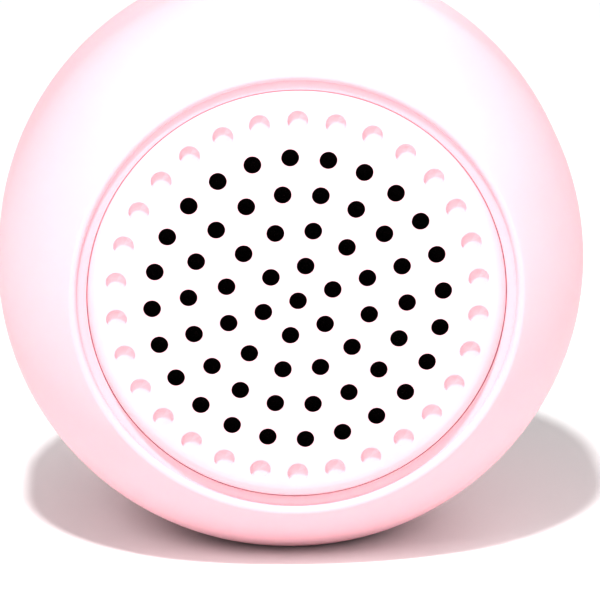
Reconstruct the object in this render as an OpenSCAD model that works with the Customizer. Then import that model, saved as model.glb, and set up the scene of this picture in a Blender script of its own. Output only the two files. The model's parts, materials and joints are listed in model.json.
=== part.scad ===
// Ball-shaped waterproof shower speaker: a perforated front disc over a 2 inch driver, a soft
// sleeve over a two-piece hard frame, three top keys, a covered charging port on the right side
// and a twist-lock suction cup at the back.
// Millimetres. +Z is up and -Y is the front. The origin is on the small flat under the ball,
// below the middle of its widest band.
// Most pieces are drawn about the speaker's own axis: r is the distance from that axis, s is the
// distance behind the centre of the front disc, and h is the height above the axis.

/* [Ball] */
// Largest diameter of the ball
ball_d = 83; // [82.6:0.1:83.4]
// Half-length of the front curve, from the widest band forward
front_len = 30.15; // [29.9:0.05:30.5]
// Half-length of the rear curve, from the widest band back
rear_len = 36; // [35.5:0.1:36.5]
// Distance from the disc centre back to the widest band
band_front = 21.85; // [21.6:0.05:22]
// Length of the widest band
band_len = 8.25; // [8:0.05:8.5]
// Height cut away under the ball to make its flat
flat_cut = 1.2; // [1:0.1:1.4]
// Thickness of the soft sleeve
sleeve_t = 1.6; // [1.5:0.1:1.7]
// Wall thickness of the hard frames
frame_t = 2; // [1.8:0.1:2.2]
// Distance behind the disc centre at which the two frames meet
seam_s = 24; // [23.5:0.1:24.5]

/* [Front disc] */
// Distance between neighbouring hole rings
pitch = 5; // [4.9:0.05:5.05]
// Diameter of the sound holes
hole_d = 2.4; // [2:0.1:2.6]
// Length of a sound hole before it widens
hole_len = 0.4; // [0.3:0.1:0.8]
// Diameter of a sound hole's wider rear part
relief_d = 3.6; // [3:0.1:3.8]
// Number of rings of sound holes around the centre hole
hole_rings = 4; // [2:1:4]
// Angle of the first hole in every ring, from the right-hand side upwards
first_angle = 18; // [0:1:60]
// Diameter of the blind dimples in the outermost ring
dimple_d = 2.8; // [2.4:0.1:3]
// Depth of the blind dimples
dimple_depth = 0.8; // [0.5:0.1:1.1]
// Diameter of the front disc
disc_d = 57.8; // [57.6:0.1:58]
// Thickness of the front disc's plate
disc_t = 2; // [1.8:0.1:2.2]
// Radius of the front disc's rounded edge
disc_edge = 2.5; // [2:0.1:2.6]
// Radius of the sphere that the crowned front face follows
crown_r = 340; // [320:5:360]
// Radius of the sleeve's front lip
lip_r = 0.75; // [0.7:0.05:0.8]
// Angle along the front curve at which the lip begins
lip_angle = 40.55; // [40.3:0.05:40.8]

/* [Driver] */
// Diameter of the driver's mounting flange
flange_d = 53.2; // [52:0.1:53.4]
// Outer diameter of the cone's flat rim
cone_d = 36.8; // [36.6:0.1:36.9]
// Diameter of the magnet
magnet_d = 34; // [32:0.5:35]
// Outer diameter of the pole piece
pole_d = 12.6; // [12.4:0.1:12.6]
// Distance that the cone moves each way
cone_travel = 1.2; // [1:0.1:1.2]

/* [Keys] */
// Distance behind the disc centre of the row of keys
key_s = 35.2; // [35:0.1:35.4]
// Sideways distance between neighbouring keys
key_gap = 13.5; // [13.3:0.1:13.7]
// Diameter of the middle key
play_d = 10.4; // [10:0.1:10.6]
// Diameter of the outer keys
volume_d = 8.6; // [8.2:0.1:8.8]
// Height that the keys stand proud of the sleeve
key_proud = 0.7; // [0.5:0.1:0.8]
// Distance that a key moves down
key_travel = 0.6; // [0.4:0.1:0.6]

/* [Charging port] */
// Distance behind the disc centre of the port
port_s = 39.9; // [39.8:0.05:40]
// Height of the port's hole in the rear frame
port_h = 10; // [9.8:0.1:10.2]
// Width of the port's hole in the rear frame, along the axis
port_w = 4; // [3.8:0.1:4]
// Distance behind the disc centre of the flap's hinge pin
pin_s = 44.6; // [44.5:0.05:44.7]
// Distance of the hinge pin from the axis plane
pin_x = 36.3; // [36.2:0.05:36.4]

/* [Suction cup] */
// Diameter of the suction cup
cup_d = 60; // [56:1:62]
// Distance behind the disc centre of the cup's sealing rim
cup_rim_s = 79; // [78.8:0.1:80]
// Depth of the cup's dish
cup_dish = 4.2; // [3.5:0.1:4.2]
// Diameter of the hub's twist-lock stem
stem_d = 17.9; // [17.8:0.02:17.9]
// Angle of the twist lock
twist = 60; // [45:5:75]

/* [Battery and board] */
// Width of the battery pouch
battery_w = 32; // [28:1:32]
// Height of the battery pouch
battery_h = 36; // [30:1:36]
// Thickness of the battery pouch
battery_t = 5.4; // [4:0.1:5.4]
// Diameter of the main board
board_d = 59; // [57:0.5:59]
// Thickness of the main board
board_t = 1.2; // [1:0.1:1.2]

/* [Hidden] */

$fn = 96;
small_gap = 0.05;                        // between pieces that touch when assembled
clearance = 0.3;                         // between pieces that move past each other
far = 120;                               // reaches past the whole speaker
curve_steps = 24;                        // straight steps along each curve of the ball

ball_r = ball_d / 2;
axis_h = ball_r - flat_cut;              // height of the axis above the flat
band_rear = band_front + band_len;
origin_s = band_front + band_len / 2;    // the origin lies below this place on the axis

frame_out = sleeve_t + small_gap;        // depth of the frames' outer face below the sleeve's
frame_in = frame_out + frame_t;          // depth of the frames' inner face
sleeve_floor = 1.4;                      // sleeve thickness under the ball

ledge_s = 4;                             // back face of the disc's rim, on the frame's ledge
ledge_t = 3;
ledge_r = 23.2;                          // sound opening in the ledge
groove_r = disc_d / 2 + small_gap;       // inner edge of the sleeve's flange round the disc
groove_s = 2.9;                          // front face of that flange, the floor of the groove
rear_hole_r = 14.5;                      // hole in the sleeve around the hub's boss

hook_count = 6;
hook_w = 6.6;
hook_r = 27.2;                           // inner face of the disc's snap hooks
hook_t = 1.1;
hook_barb = 0.8;

boss_count = 4;
frame_screw_r = 34.2;                    // distance of the frame screws from the axis
driver_screw_r = 25;
screw_seat_s = 34;                       // where the frame screws' heads bear

tongue_in = 36.9;                        // inner radius of the front frame's seam tongue
tongue_out = 38.2;
tongue_depth = ball_r - tongue_in;
tongue_len = 3;
seal_s = seam_s + 1.5;                   // place of the seam's sealing ring
seal_thick = 0.49;

flange_s = 7.6;                          // front face of the driver's flange
flange_t = 0.9;
wall_in = 22;                            // inner radius of the basket's front wall
neck_r = 6.85;                           // radius at which the cone meets the coil former
rim_s = flange_s + 0.05;                 // front face of the cone's flat rim
rim_w = 1.2;
cone_t = 0.5;
neck_s = 13.2;
roll_thick = 0.35;
spider_s = 15.35;
spider_t = 0.4;
top_plate_s = 20;
plate_t = 2;
magnet_t = 5;
magnet_bore = 9.5;
plate_d = 31;
magnet_s = top_plate_s + plate_t;
yoke_s = magnet_s + magnet_t;
former_end = yoke_s - 2.8 - cone_travel;  // clears the yoke when the cone moves back

board_s = 37.05;                         // front face of the main board
board_back = board_s + board_t;
board_top = 26.3;                        // the board's flat top edge clears the keys' stems
tray_s = 36;                             // front face of the battery tray's plate
tray_t = 1;
tray_wall = 1.2;
battery_mid = -3;                        // height of the battery's middle above the axis
battery_s = tray_s - 0.6 - battery_t;
post_x = 25.4;                           // the tray's four screw posts
post_h = 9.2;
post_r = 2.7;

switch_top = 26;                         // top of the switch bodies above the axis
stem_end = 27.15;                        // lower end of the keys' stems
plunger_top = stem_end - key_travel - 0.1;  // drawn pressed right down
key_stem_r = 2;
guide_r = 4;
pipe_x = 7;                              // light pipe to the right, microphone to the left
pipe_r = 0.8;
boot_r = 1.7;
mic_hole_r = 0.6;

flap_front = port_s - 4.7;               // front edge of the charging flap
flap_back = pin_s - 1.6;
flap_h = 12.4;
flap_t = 1.3;
knuckle_r = 1.25;
knuckle_h = 4.4;
lug_r = 1.1;
lug_out = 4.9;                           // height of the lugs' outer ends above and below the port
flap_pin_r = 0.6;
nail_groove_r = 0.7;                     // the groove that opens the flap
socket_x = 34.7;                         // mouth of the charging socket

hub_face = 64;                           // rear face of the boss that holds the cup's hub
hub_boss_r = 14.2;
socket_floor = 56;
chamber_s = 60;
chamber_r = 10.9;
lug_reach = 10.3;
hub_flange_s = hub_face + 0.35;
hub_back = 66.6;
stud_r = 4;
stud_head_r = 6;
stud_neck_s = 71;
stud_end_s = 73;
cup_neck_r = 8.5;
rim_lip = 2.5;                           // width of the cup's flat sealing lip

pink = [1, 0.8, 0.85];
white_plastic = [0.93, 0.92, 0.92];
steel = [0.72, 0.73, 0.75];
black = [0.08, 0.08, 0.09];
rubber_grey = [0.25, 0.25, 0.27];
copper = [0.75, 0.42, 0.22];
brass_yellow = [0.82, 0.68, 0.35];
board_green = [0.08, 0.32, 0.2];

// Points along the ball's curves, at a depth below the sleeve's surface.
function front_point(depth, t) =
    [(ball_r - depth) * cos(t), band_front - (front_len - depth) * sin(t)];
function rear_point(depth, t) =
    [(ball_r - depth) * cos(t), band_rear + (rear_len - depth) * sin(t)];
function front_angle(depth, s) = asin((band_front - s) / (front_len - depth));
function rear_angle_at(depth, s) = asin((s - band_rear) / (rear_len - depth));
function rear_angle(depth, r) = acos(r / (ball_r - depth));
function front_curve(depth, t_from) =
    [for (i = [0 : curve_steps - 1]) front_point(depth, t_from * (1 - i / curve_steps))];
function rear_curve(depth, t_to) =
    [for (i = [0 : curve_steps]) rear_point(depth, t_to * i / curve_steps)];
function reversed(points) = [for (i = [len(points) - 1 : -1 : 0]) points[i]];

// The sleeve's front lip: a round edge that leaves the ball's curve at lip_angle.
lip_normal = atan(sin(lip_angle) / front_len / (cos(lip_angle) / ball_r));
lip_start = front_point(0, lip_angle);
lip_centre = lip_start - lip_r * [cos(lip_normal), -sin(lip_normal)];
opening_r = lip_centre[0] - lip_r;
lip_steps = 8;
lip_points = [
    for (i = [0 : lip_steps - 1])
        let (a = 180 - (180 - lip_normal) * i / lip_steps)
            lip_centre + lip_r * [cos(a), -sin(a)]
];

// Depth of the crowned face behind the disc's centre.
function crown(r) = crown_r - sqrt(crown_r * crown_r - r * r);

// Moves a shape drawn about +Z, which then points to the back, onto the speaker's axis.
module axial() {
    translate([0, -origin_s, axis_h]) rotate([-90, 0, 0]) children();
}

// Moves a shape to sideways place x, height h above the axis and distance s behind the disc.
module at(x, h, s) {
    translate([x, s - origin_s, axis_h + h]) children();
}

// Repeats a shape around the axis, inside axial().
module around(count, radius, start) {
    for (i = [0 : count - 1])
        rotate([0, 0, -start - 360 * i / count]) translate([radius, 0, 0]) children();
}

module disc(r, s_from, s_to) {
    axial() translate([0, 0, s_from]) cylinder(r = r, h = s_to - s_from);
}

module ring(r_in, r_out, s_from, s_to) {
    axial() rotate_extrude() translate([r_in, s_from]) square([r_out - r_in, s_to - s_from]);
}

module o_ring(r, thick, s) {
    axial() translate([0, 0, s]) rotate_extrude() translate([r, 0]) circle(r = thick, $fn = 32);
}

// A block between two corners given as [x, h, s].
module block(low, high) {
    at(low[0], low[1], low[2])
        cube([high[0] - low[0], high[2] - low[2], high[1] - low[1]]);
}

module upright(r, x, s, h_from, h_to) {
    at(x, h_from, s) cylinder(r = r, h = h_to - h_from);
}

// A slab with rounded corners in the plane across the axis.
module rounded_slab(width, height, corner, mid_h, s_from, s_to) {
    axial() translate([0, -mid_h, s_from]) linear_extrude(s_to - s_from) {
        square([width - 2 * corner, height], center = true);
        square([width, height - 2 * corner], center = true);
        for (x = [-1, 1], y = [-1, 1])
            translate([x * (width / 2 - corner), y * (height / 2 - corner)])
                circle(r = corner, $fn = 32);
    }
}

// The closed ball at a depth below the sleeve, from s_from back to radius r_end, above a floor.
module ball(depth, s_from, r_end, floor_z) {
    t_front = front_angle(depth, s_from);
    t_rear = rear_angle(depth, r_end);
    rear_s = rear_point(depth, t_rear)[1];
    intersection() {
        axial() rotate_extrude() polygon(concat(
            [[0, s_from]],
            front_curve(depth, t_front),
            rear_curve(depth, t_rear),
            [[0, rear_s]]
        ));
        translate([-far / 2, -far / 2, floor_z]) cube(far);
    }
}

// The stretch of the ball under the keys and the flap, at a depth below the sleeve.
module rear_zone(depth, s_from, s_to) {
    t_rear = rear_angle_at(depth, s_to);
    axial() rotate_extrude() polygon(concat(
        [[0, s_from], [ball_r - depth, s_from]],
        rear_curve(depth, t_rear),
        [[0, s_to]]
    ));
}

// A round-ended slot across the speaker's right side, for the charging port.
module port_slot(width, height, x_from, x_to) {
    at(x_from, 0, port_s) rotate([0, 90, 0]) linear_extrude(x_to - x_from) {
        square([height - width, width], center = true);
        for (side = [-1, 1])
            translate([side * (height - width) / 2, 0]) circle(d = width);
    }
}

// A round tube along points given as [x, h, s].
lead_sides = 8;
lead_r = 0.55;
function lead_point(p) = [p[0], p[2] - origin_s, p[1] + axis_h];
function unit(v) = v / norm(v);
function lead_direction(points, i) =
    unit(points[min(i + 1, len(points) - 1)] - points[max(i - 1, 0)]);
function lead_ring(points, i, r) =
    let (
        along = lead_direction(points, i),
        side = unit(cross(along, [1, 0, 0])),
        up = cross(side, along)
    )
    [for (k = [0 : lead_sides - 1])
        let (a = 360 * k / lead_sides)
            points[i] + r * (cos(a) * side + sin(a) * up)];
module lead(route, r = lead_r) {
    points = [for (p = route) lead_point(p)];
    count = len(points);
    polyhedron(
        points = [for (i = [0 : count - 1]) each lead_ring(points, i, r)],
        faces = concat(
            [[for (k = [0 : lead_sides - 1]) k]],
            [for (i = [0 : count - 2], k = [0 : lead_sides - 1])
                let (n = (k + 1) % lead_sides, a = i * lead_sides, b = a + lead_sides)
                    [a + n, a + k, b + k, b + n]],
            [[for (k = [lead_sides - 1 : -1 : 0]) (count - 1) * lead_sides + k]]
        )
    );
}

// ---- Casing ----

module sleeve_blank() {
    t_rear = rear_angle(0, rear_hole_r);
    intersection() {
        axial() rotate_extrude() polygon(concat(
            [[groove_r, ledge_s + 2], [groove_r, groove_s], [opening_r, groove_s]],
            lip_points,
            front_curve(0, lip_angle),
            rear_curve(0, t_rear),
            [[rear_hole_r, ledge_s + 2]]
        ));
        translate([-far / 2, -far / 2, 0]) cube(far);
    }
}

module silicone_sleeve() {
    color(pink) difference() {
        sleeve_blank();
        ball(sleeve_t, ledge_s, 13.5, sleeve_floor);
        upright(play_d / 2 + clearance, 0, key_s, 30, 50);
        for (side = [-1, 1])
            upright(volume_d / 2 + clearance, side * key_gap, key_s, 30, 50);
        upright(pipe_r + small_gap, pipe_x, key_s, 30, 50);
        upright(mic_hole_r, -pipe_x, key_s, 30, 50);
        block([30, -flap_h / 2 - clearance, flap_front - clearance],
            [50, flap_h / 2 + clearance, pin_s + 1.9]);
    }
}

module front_wall() {
    t_out = front_angle(frame_out, ledge_s + small_gap);
    t_in = front_angle(tongue_depth, ledge_s + ledge_t);
    axial() rotate_extrude() polygon(concat(
        [[ledge_r, ledge_s + small_gap]],
        front_curve(frame_out, t_out),
        [
            [ball_r - frame_out, seam_s],
            [tongue_out, seam_s],
            [tongue_out, seam_s + tongue_len],
            [tongue_in, seam_s + tongue_len],
            [tongue_in, band_front]
        ],
        reversed(front_curve(tongue_depth, t_in)),
        [[ledge_r, ledge_s + ledge_t]]
    ));
}

module front_frame() {
    color(white_plastic) difference() {
        intersection() {
            union() {
                front_wall();
                intersection() {
                    axial() around(boss_count, frame_screw_r, 45)
                        translate([0, 0, 13]) cylinder(r = 2.9, h = seam_s - 13);
                    disc(ball_r - frame_out - 1, 0, seam_s);
                    ball(frame_out + 0.6, ledge_s + 1, 20, 0);
                }
            }
            translate([-far / 2, -far / 2, sleeve_floor + small_gap]) cube(far);
        }
        axial() around(boss_count, frame_screw_r, 45)
            translate([0, 0, 15]) cylinder(r = 1, h = 20, $fn = 32);
        axial() around(boss_count, driver_screw_r, 45)
            translate([0, 0, 5]) cylinder(r = 0.85, h = 5, $fn = 32);
        axial() around(hook_count, hook_r - 0.5, 0)
            translate([0, -hook_w / 2 - 0.2, 0]) cube([1.8, hook_w + 0.4, 10]);
        ring(tongue_out - 1, tongue_out + 1, seal_s - 0.6, seal_s + 0.6);
    }
}

module rear_wall() {
    t_out = rear_angle(frame_out, hub_boss_r);
    t_in = rear_angle(frame_in, hub_boss_r - 1);
    rear_in = rear_point(frame_in, t_in)[1];
    axial() rotate_extrude() polygon(concat(
        [[tongue_out + small_gap, seam_s + small_gap], [ball_r - frame_out, seam_s + small_gap]],
        rear_curve(frame_out, t_out),
        [[hub_boss_r, hub_face], [0, hub_face], [0, socket_floor - 2],
            [hub_boss_r - 1, socket_floor - 2], [hub_boss_r - 1, rear_in]],
        reversed(rear_curve(frame_in, t_in)),
        [[ball_r - frame_in, seam_s + tongue_len + 0.2],
            [tongue_out + small_gap, seam_s + tongue_len + 0.2]]
    ));
}

module screw_posts() {
    intersection() {
        union() {
            axial() around(boss_count, frame_screw_r, 45)
                translate([0, 0, seam_s + tongue_len + 0.6]) cylinder(r = 3.8, h = 25);
            for (x = [-1, 1], y = [-1, 1])
                at(x * post_x, y * post_h, board_back + small_gap) rotate([-90, 0, 0])
                    cylinder(r = post_r, h = 25);
            for (x = [-1, 0, 1])
                upright(guide_r, x * key_gap, key_s, x == 0 ? 33.5 : 31, 50);
        }
        ball(frame_out + 0.5, ledge_s + 1, 12, 0);
    }
}

module hinge_lugs() {
    for (side = [-1, 1])
        intersection() {
            union() {
                at(pin_x, -10, pin_s) cylinder(r = lug_r, h = 20);
                block([34, -10, pin_s - 0.9], [pin_x, 10, pin_s + 0.9]);
            }
            block([30, min(side * 2.5, side * lug_out), 40],
                [50, max(side * 2.5, side * lug_out), 50]);
        }
}

module rear_frame() {
    color(white_plastic) difference() {
        union() {
            difference() {
                union() {
                    rear_wall();
                    screw_posts();
                }
                block([34.75, -5.2, flap_back + 0.1], [50, 5.2, pin_s + 1.5]);
            }
            hinge_lugs();
        }
        translate([-far / 2, -far / 2, sleeve_floor + small_gap - far]) cube(far);
        axial() around(boss_count, frame_screw_r, 45) {
            cylinder(r = 1.4, h = 50, $fn = 48);
            translate([0, 0, screw_seat_s]) cylinder(r = 2.7, h = 30, $fn = 48);
        }
        for (x = [-1, 1], y = [-1, 1])
            at(x * post_x, y * post_h, board_back - 1) rotate([-90, 0, 0])
                cylinder(r = 0.85, h = 9, $fn = 32);
        for (x = [-1, 0, 1]) {
            upright(key_stem_r + clearance, x * key_gap, key_s, 25, 50);
            at(x * key_gap, x == 0 ? 35 : 32.3, key_s) cylinder(r = 3.15, h = 1.1);
        }
        upright(pipe_r + small_gap, pipe_x, key_s, 25, 50);
        upright(boot_r + small_gap, -pipe_x, key_s, 25, 50);
        port_slot(port_w, port_h, 30, 45);
        at(pin_x, -6, pin_s) cylinder(r = flap_pin_r + 0.02, h = 12, $fn = 48);
        disc(stem_d / 2 + small_gap, chamber_s - 1, hub_face + 1);
        disc(chamber_r, socket_floor, chamber_s);
        axial() around(2, 0, twist)
            translate([0, -3, socket_floor + 1]) cube([chamber_r, 6, 12]);
    }
}

module seam_seal() {
    color(rubber_grey) o_ring(tongue_out - seal_thick + 0.03, seal_thick, seal_s);
}

module frame_screws() {
    color(steel) axial() around(boss_count, frame_screw_r, 45) {
        translate([0, 0, screw_seat_s - 16]) cylinder(r = 0.98, h = 16.5, $fn = 32);
        difference() {
            translate([0, 0, screw_seat_s + small_gap]) cylinder(r = 2.3, h = 1.6, $fn = 48);
            translate([0, 0, screw_seat_s + 0.9]) {
                translate([-1.4, -0.25, 0]) cube([2.8, 0.5, 2]);
                translate([-0.25, -1.4, 0]) cube([0.5, 2.8, 2]);
            }
        }
    }
}

// ---- Front disc ----

// Places a shape at every hole of one ring of the pattern, inside axial().
module ring_of_holes(number) {
    around(6 * number, pitch * number, first_angle) children();
}

module snap_hooks() {
    axial() around(hook_count, hook_r, 0) translate([0, -hook_w / 2, ledge_s - 1]) {
        cube([hook_t, hook_w, ledge_t + 1.9]);
        translate([0, 0, ledge_t + 1.1]) cube([hook_t + hook_barb, hook_w, 0.8]);
    }
}

module disc_blank() {
    edge_steps = 8;
    flat_r = disc_d / 2 - disc_edge;
    recess_r = 24.6;
    recess_s = 3.4;
    crown_steps = 6;
    shelf_r = 22.4;
    axial() rotate_extrude() polygon(concat(
        [for (i = [0 : crown_steps]) let (r = flat_r * i / crown_steps) [r, crown(r)]],
        [for (i = [1 : edge_steps])
            let (a = 90 * i / edge_steps)
                [flat_r + disc_edge * sin(a), crown(flat_r) + disc_edge * (1 - cos(a))]],
        [[disc_d / 2, ledge_s], [recess_r, ledge_s], [recess_r, recess_s], [shelf_r, recess_s]],
        [for (i = [crown_steps : -1 : 0])
            let (r = shelf_r * i / crown_steps) [r, disc_t + crown(r)]]
    ));
}

// One sound hole at distance r from the axis, inside axial(): it widens behind the front face.
module sound_hole(r) {
    translate([0, 0, -1]) cylinder(d = hole_d, h = 6, $fn = 32);
    translate([0, 0, crown(r) + hole_len]) cylinder(d = relief_d, h = 5, $fn = 32);
}

module grille_disc() {
    dimple_ring = hole_rings + 1;
    dimple_floor = crown(pitch * dimple_ring) + dimple_depth;
    color(pink) union() {
        difference() {
            disc_blank();
            axial() {
                sound_hole(0);
                for (number = [1 : hole_rings])
                    ring_of_holes(number) sound_hole(pitch * number);
                ring_of_holes(dimple_ring)
                    translate([0, 0, -1]) cylinder(d = dimple_d, h = 1 + dimple_floor, $fn = 32);
            }
        }
        snap_hooks();
    }
}

module acoustic_mesh() {
    color(black) disc(24.4, 3.42, 3.72);
}

// ---- Driver ----

module driver_gasket() {
    color(rubber_grey) difference() {
        ring(23.4, flange_d / 2, ledge_s + ledge_t + 0.02, flange_s - 0.02);
        axial() around(boss_count, driver_screw_r, 45) cylinder(r = 1.2, h = 20, $fn = 32);
    }
}

module driver_basket() {
    ledge_out = 16.8;
    foot_r = 15;
    window_count = 6;
    color(black) difference() {
        axial() rotate_extrude() polygon([
            [wall_in, flange_s], [wall_in, 11.2], [ledge_out, 15.6], [foot_r, 15.6],
            [foot_r, 19], [8.4, 19], [8.4, 19.9], [foot_r + flange_t, 19.9],
            [foot_r + flange_t, 16.5], [ledge_out + 0.5, 16.5], [wall_in + flange_t, 11.7],
            [wall_in + flange_t, flange_s + flange_t], [flange_d / 2, flange_s + flange_t],
            [flange_d / 2, flange_s]
        ]);
        axial() around(window_count, 17.6, 30) translate([0, -4.5, 11.9]) cube([6, 9, 3.1]);
        axial() around(boss_count, driver_screw_r, 45) cylinder(r = 1.1, h = 20, $fn = 32);
    }
}

module driver_screws() {
    color(steel) axial() around(boss_count, driver_screw_r, 45) {
        translate([0, 0, 5.1]) cylinder(r = 0.83, h = 4, $fn = 32);
        translate([0, 0, flange_s + flange_t + small_gap]) difference() {
            cylinder(r = 1.5, h = 1.1, $fn = 32);
            translate([-0.9, -0.2, 0.6]) cube([1.8, 0.4, 1]);
            translate([-0.2, -0.9, 0.6]) cube([0.4, 1.8, 1]);
        }
    }
}

module cone_surround() {
    roll_mid = (cone_d / 2 + wall_in) / 2;
    roll_r = (wall_in - cone_d / 2) / 2;
    roll_s = flange_s - 0.05;
    color(rubber_grey) axial() rotate_extrude() {
        difference() {
            translate([roll_mid, roll_s]) circle(r = roll_r);
            translate([roll_mid, roll_s]) circle(r = roll_r - roll_thick);
            translate([roll_mid - 5, roll_s]) square([10, 5]);
        }
        translate([wall_in - roll_thick, roll_s - roll_thick]) square([1.4, roll_thick]);
        translate([cone_d / 2 - rim_w, roll_s - roll_thick])
            square([rim_w + roll_thick, roll_thick]);
    }
}

module speaker_cone() {
    rim_in = cone_d / 2 - rim_w;
    color(black) axial() rotate_extrude() polygon([
        [neck_r, neck_s], [rim_in, rim_s], [cone_d / 2, rim_s], [cone_d / 2, rim_s + cone_t],
        [rim_in + 0.2, rim_s + cone_t], [neck_r, neck_s + 0.6]
    ]);
}

module dust_cap() {
    cap_r = 8;
    cap_h = 3;
    cap_s = 12.5;
    dome_r = (cap_r * cap_r + cap_h * cap_h) / (2 * cap_h);
    color(rubber_grey) intersection() {
        axial() translate([0, 0, cap_s - cap_h + dome_r]) difference() {
            sphere(r = dome_r);
            sphere(r = dome_r - 0.4);
        }
        disc(cap_r + 1, cap_s - cap_h - 1, cap_s);
    }
}

module coil_former() {
    color(brass_yellow) ring(pole_d / 2 + 0.25, neck_r - small_gap, neck_s - 0.3, former_end);
}

module coil_winding() {
    color(copper) ring(neck_r - 0.03, neck_r + 0.35, 19.9, 22.1);
}

module spider() {
    waves = 4;
    steps = 48;
    r_out = 16.6;
    swell = 0.5;
    flat_from = 15.2;
    points = [
        for (i = [0 : steps])
            let (r = neck_r + small_gap + (flat_from - neck_r) * i / steps)
                [r, spider_s + swell * sin(360 * waves * i / steps)]
    ];
    color([0.75, 0.6, 0.3]) axial() rotate_extrude() polygon(concat(
        [for (p = points) p + [0, -spider_t / 2]],
        [[r_out, spider_s - spider_t / 2], [r_out, spider_s + spider_t / 2]],
        reversed([for (p = points) p + [0, spider_t / 2]])
    ));
}

module top_plate() {
    color(steel) ring(7.5, plate_d / 2, top_plate_s, magnet_s - small_gap);
}

module ring_magnet() {
    color([0.2, 0.2, 0.22]) ring(magnet_bore, magnet_d / 2, magnet_s, yoke_s - small_gap);
}

module pole_plate() {
    color(steel) difference() {
        union() {
            disc(plate_d / 2, yoke_s, yoke_s + plate_t);
            disc(pole_d / 2, top_plate_s, yoke_s + 1);
        }
        disc(2, top_plate_s - 1, yoke_s + plate_t + 1);
    }
}

module terminal_strip() {
    color([0.55, 0.35, 0.2])
        block([23.5, -4.5, flange_s + flange_t + small_gap], [24.5, 4.5, 13.4]);
}

module solder_tabs() {
    color(brass_yellow) for (side = [-1, 1])
        block([24.5 + small_gap, side * 2.4 - 0.9, 11.2], [27.6, side * 2.4 + 0.9, 11.7]);
}

module speaker_leads() {
    for (side = [-1, 1])
        color(side < 0 ? [0.7, 0.1, 0.1] : black)
            lead([
                [27, side * 2.4, 12.3], [27.8, side * 2.4, 15], [28.4, side * 2, 20],
                [28.2, side * 1.6, 26], [26.6, side * 1.3, 30], [26, side * 1.2, 31.5],
                [26, side * 1.2, 32.72]
            ]);
}

module speaker_plug() {
    color(white_plastic) block([23.4, -2.9, 32.75], [28.6, 2.9, board_s - small_gap]);
}

// ---- Battery ----

module battery_cell() {
    color([0.78, 0.79, 0.82])
        rounded_slab(battery_w, battery_h, 2, battery_mid, battery_s, battery_s + battery_t);
}

module battery_pad() {
    color([0.3, 0.3, 0.32])
        rounded_slab(battery_w - 3, battery_h - 3, 1, battery_mid,
            battery_s + battery_t + 0.02, tray_s - 0.02);
}

module battery_tray() {
    inner_w = battery_w + 0.8;
    inner_h = battery_h + 0.8;
    color([0.2, 0.2, 0.22]) difference() {
        union() {
            rounded_slab(inner_w + 2 * tray_wall, inner_h + 2 * tray_wall, 2.5, battery_mid,
                battery_s + 1.6, tray_s + tray_t);
            for (x = [-1, 1], y = [-1, 1]) {
                at(x * post_x, y * post_h, tray_s) rotate([-90, 0, 0])
                    cylinder(r = 3, h = tray_t);
                block([min(x * 10, x * post_x), y * post_h - 3, tray_s],
                    [max(x * 10, x * post_x), y * post_h + 3, tray_s + tray_t]);
            }
        }
        rounded_slab(inner_w, inner_h, 2.2, battery_mid, battery_s, tray_s);
        for (x = [-1, 1], y = [-1, 1])
            at(x * post_x, y * post_h, 30) rotate([-90, 0, 0]) cylinder(r = 1.1, h = 12, $fn = 32);
    }
}

module battery_leads() {
    top = battery_mid + battery_h / 2;
    plug_x = -6.5;
    for (side = [-1, 1])
        color(side < 0 ? black : [0.7, 0.1, 0.1])
            lead([
                [plug_x + side * 1.2, top + 0.03, 30.8], [plug_x + side * 1.2, top + 2, 30.8],
                [plug_x + side * 1.2, top + 3.8, 31], [plug_x + side * 1.2, top + 5, 31.8],
                [plug_x + side * 1.2, top + 5, 33.12]
            ]);
}

module battery_plug() {
    color(white_plastic) block([-9.6, 17.9, 33.15], [-3.4, 22.4, board_s - small_gap]);
}

module tray_screws() {
    color(steel) for (x = [-1, 1], y = [-1, 1])
        at(x * post_x, y * post_h, 0) rotate([-90, 0, 0]) {
            translate([0, 0, tray_s - 0.5]) cylinder(r = 0.83, h = 9, $fn = 32);
            difference() {
                translate([0, 0, tray_s - 1.3]) cylinder(r = 1.9, h = 1.25, $fn = 32);
                translate([-1.1, -0.25, tray_s - 1.9]) cube([2.2, 0.5, 1.2]);
                translate([-0.25, -1.1, tray_s - 1.9]) cube([0.5, 2.2, 1.2]);
            }
        }
}

// ---- Main board ----

module main_board() {
    color(board_green) difference() {
        union() {
            disc(board_d / 2, board_s, board_back);
            block([20, -6, board_s], [35.2, 6, board_back]);
        }
        block([-20, board_top, board_s - 1], [20, 40, board_back + 1]);
        for (x = [-1, 1], y = [-1, 1])
            at(x * post_x, y * post_h, 30) rotate([-90, 0, 0]) cylinder(r = 1.2, h = 12, $fn = 32);
    }
}

module bluetooth_module() {
    color([0.12, 0.3, 0.22]) block([-17, -20, board_back + 0.02], [-5, -6, board_back + 0.8]);
    color(steel) block([-16, -17, board_back + 0.85], [-6, -7, board_back + 2.6]);
}

module amplifier_chip() {
    color(black) block([6, -14, board_back + 0.02], [13, -7, board_back + 1.4]);
}

module board_capacitors() {
    color([0.15, 0.15, 0.2]) for (i = [0 : 2])
        at(-14 + 8 * i, 8, board_back + 0.02) rotate([-90, 0, 0]) cylinder(r = 2.6, h = 6.5);
}

module power_inductor() {
    color(rubber_grey) rounded_slab(7, 7, 1.2, -21, board_back + 0.02, board_back + 3.4);
}

module key_switches() {
    color([0.85, 0.85, 0.86]) for (x = [-1, 0, 1]) {
        block([x * key_gap - 3, switch_top - 4, key_s - 1.8],
            [x * key_gap + 3, switch_top, board_s - 0.02]);
        upright(1.5, x * key_gap, key_s, switch_top - 0.5, plunger_top);
    }
}

module status_led() {
    color([0.95, 0.95, 0.8])
        block([pipe_x - 1.2, switch_top - 2.5, key_s - 1], [pipe_x + 1.2, switch_top - 0.2,
            board_s - 0.02]);
}

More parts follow.
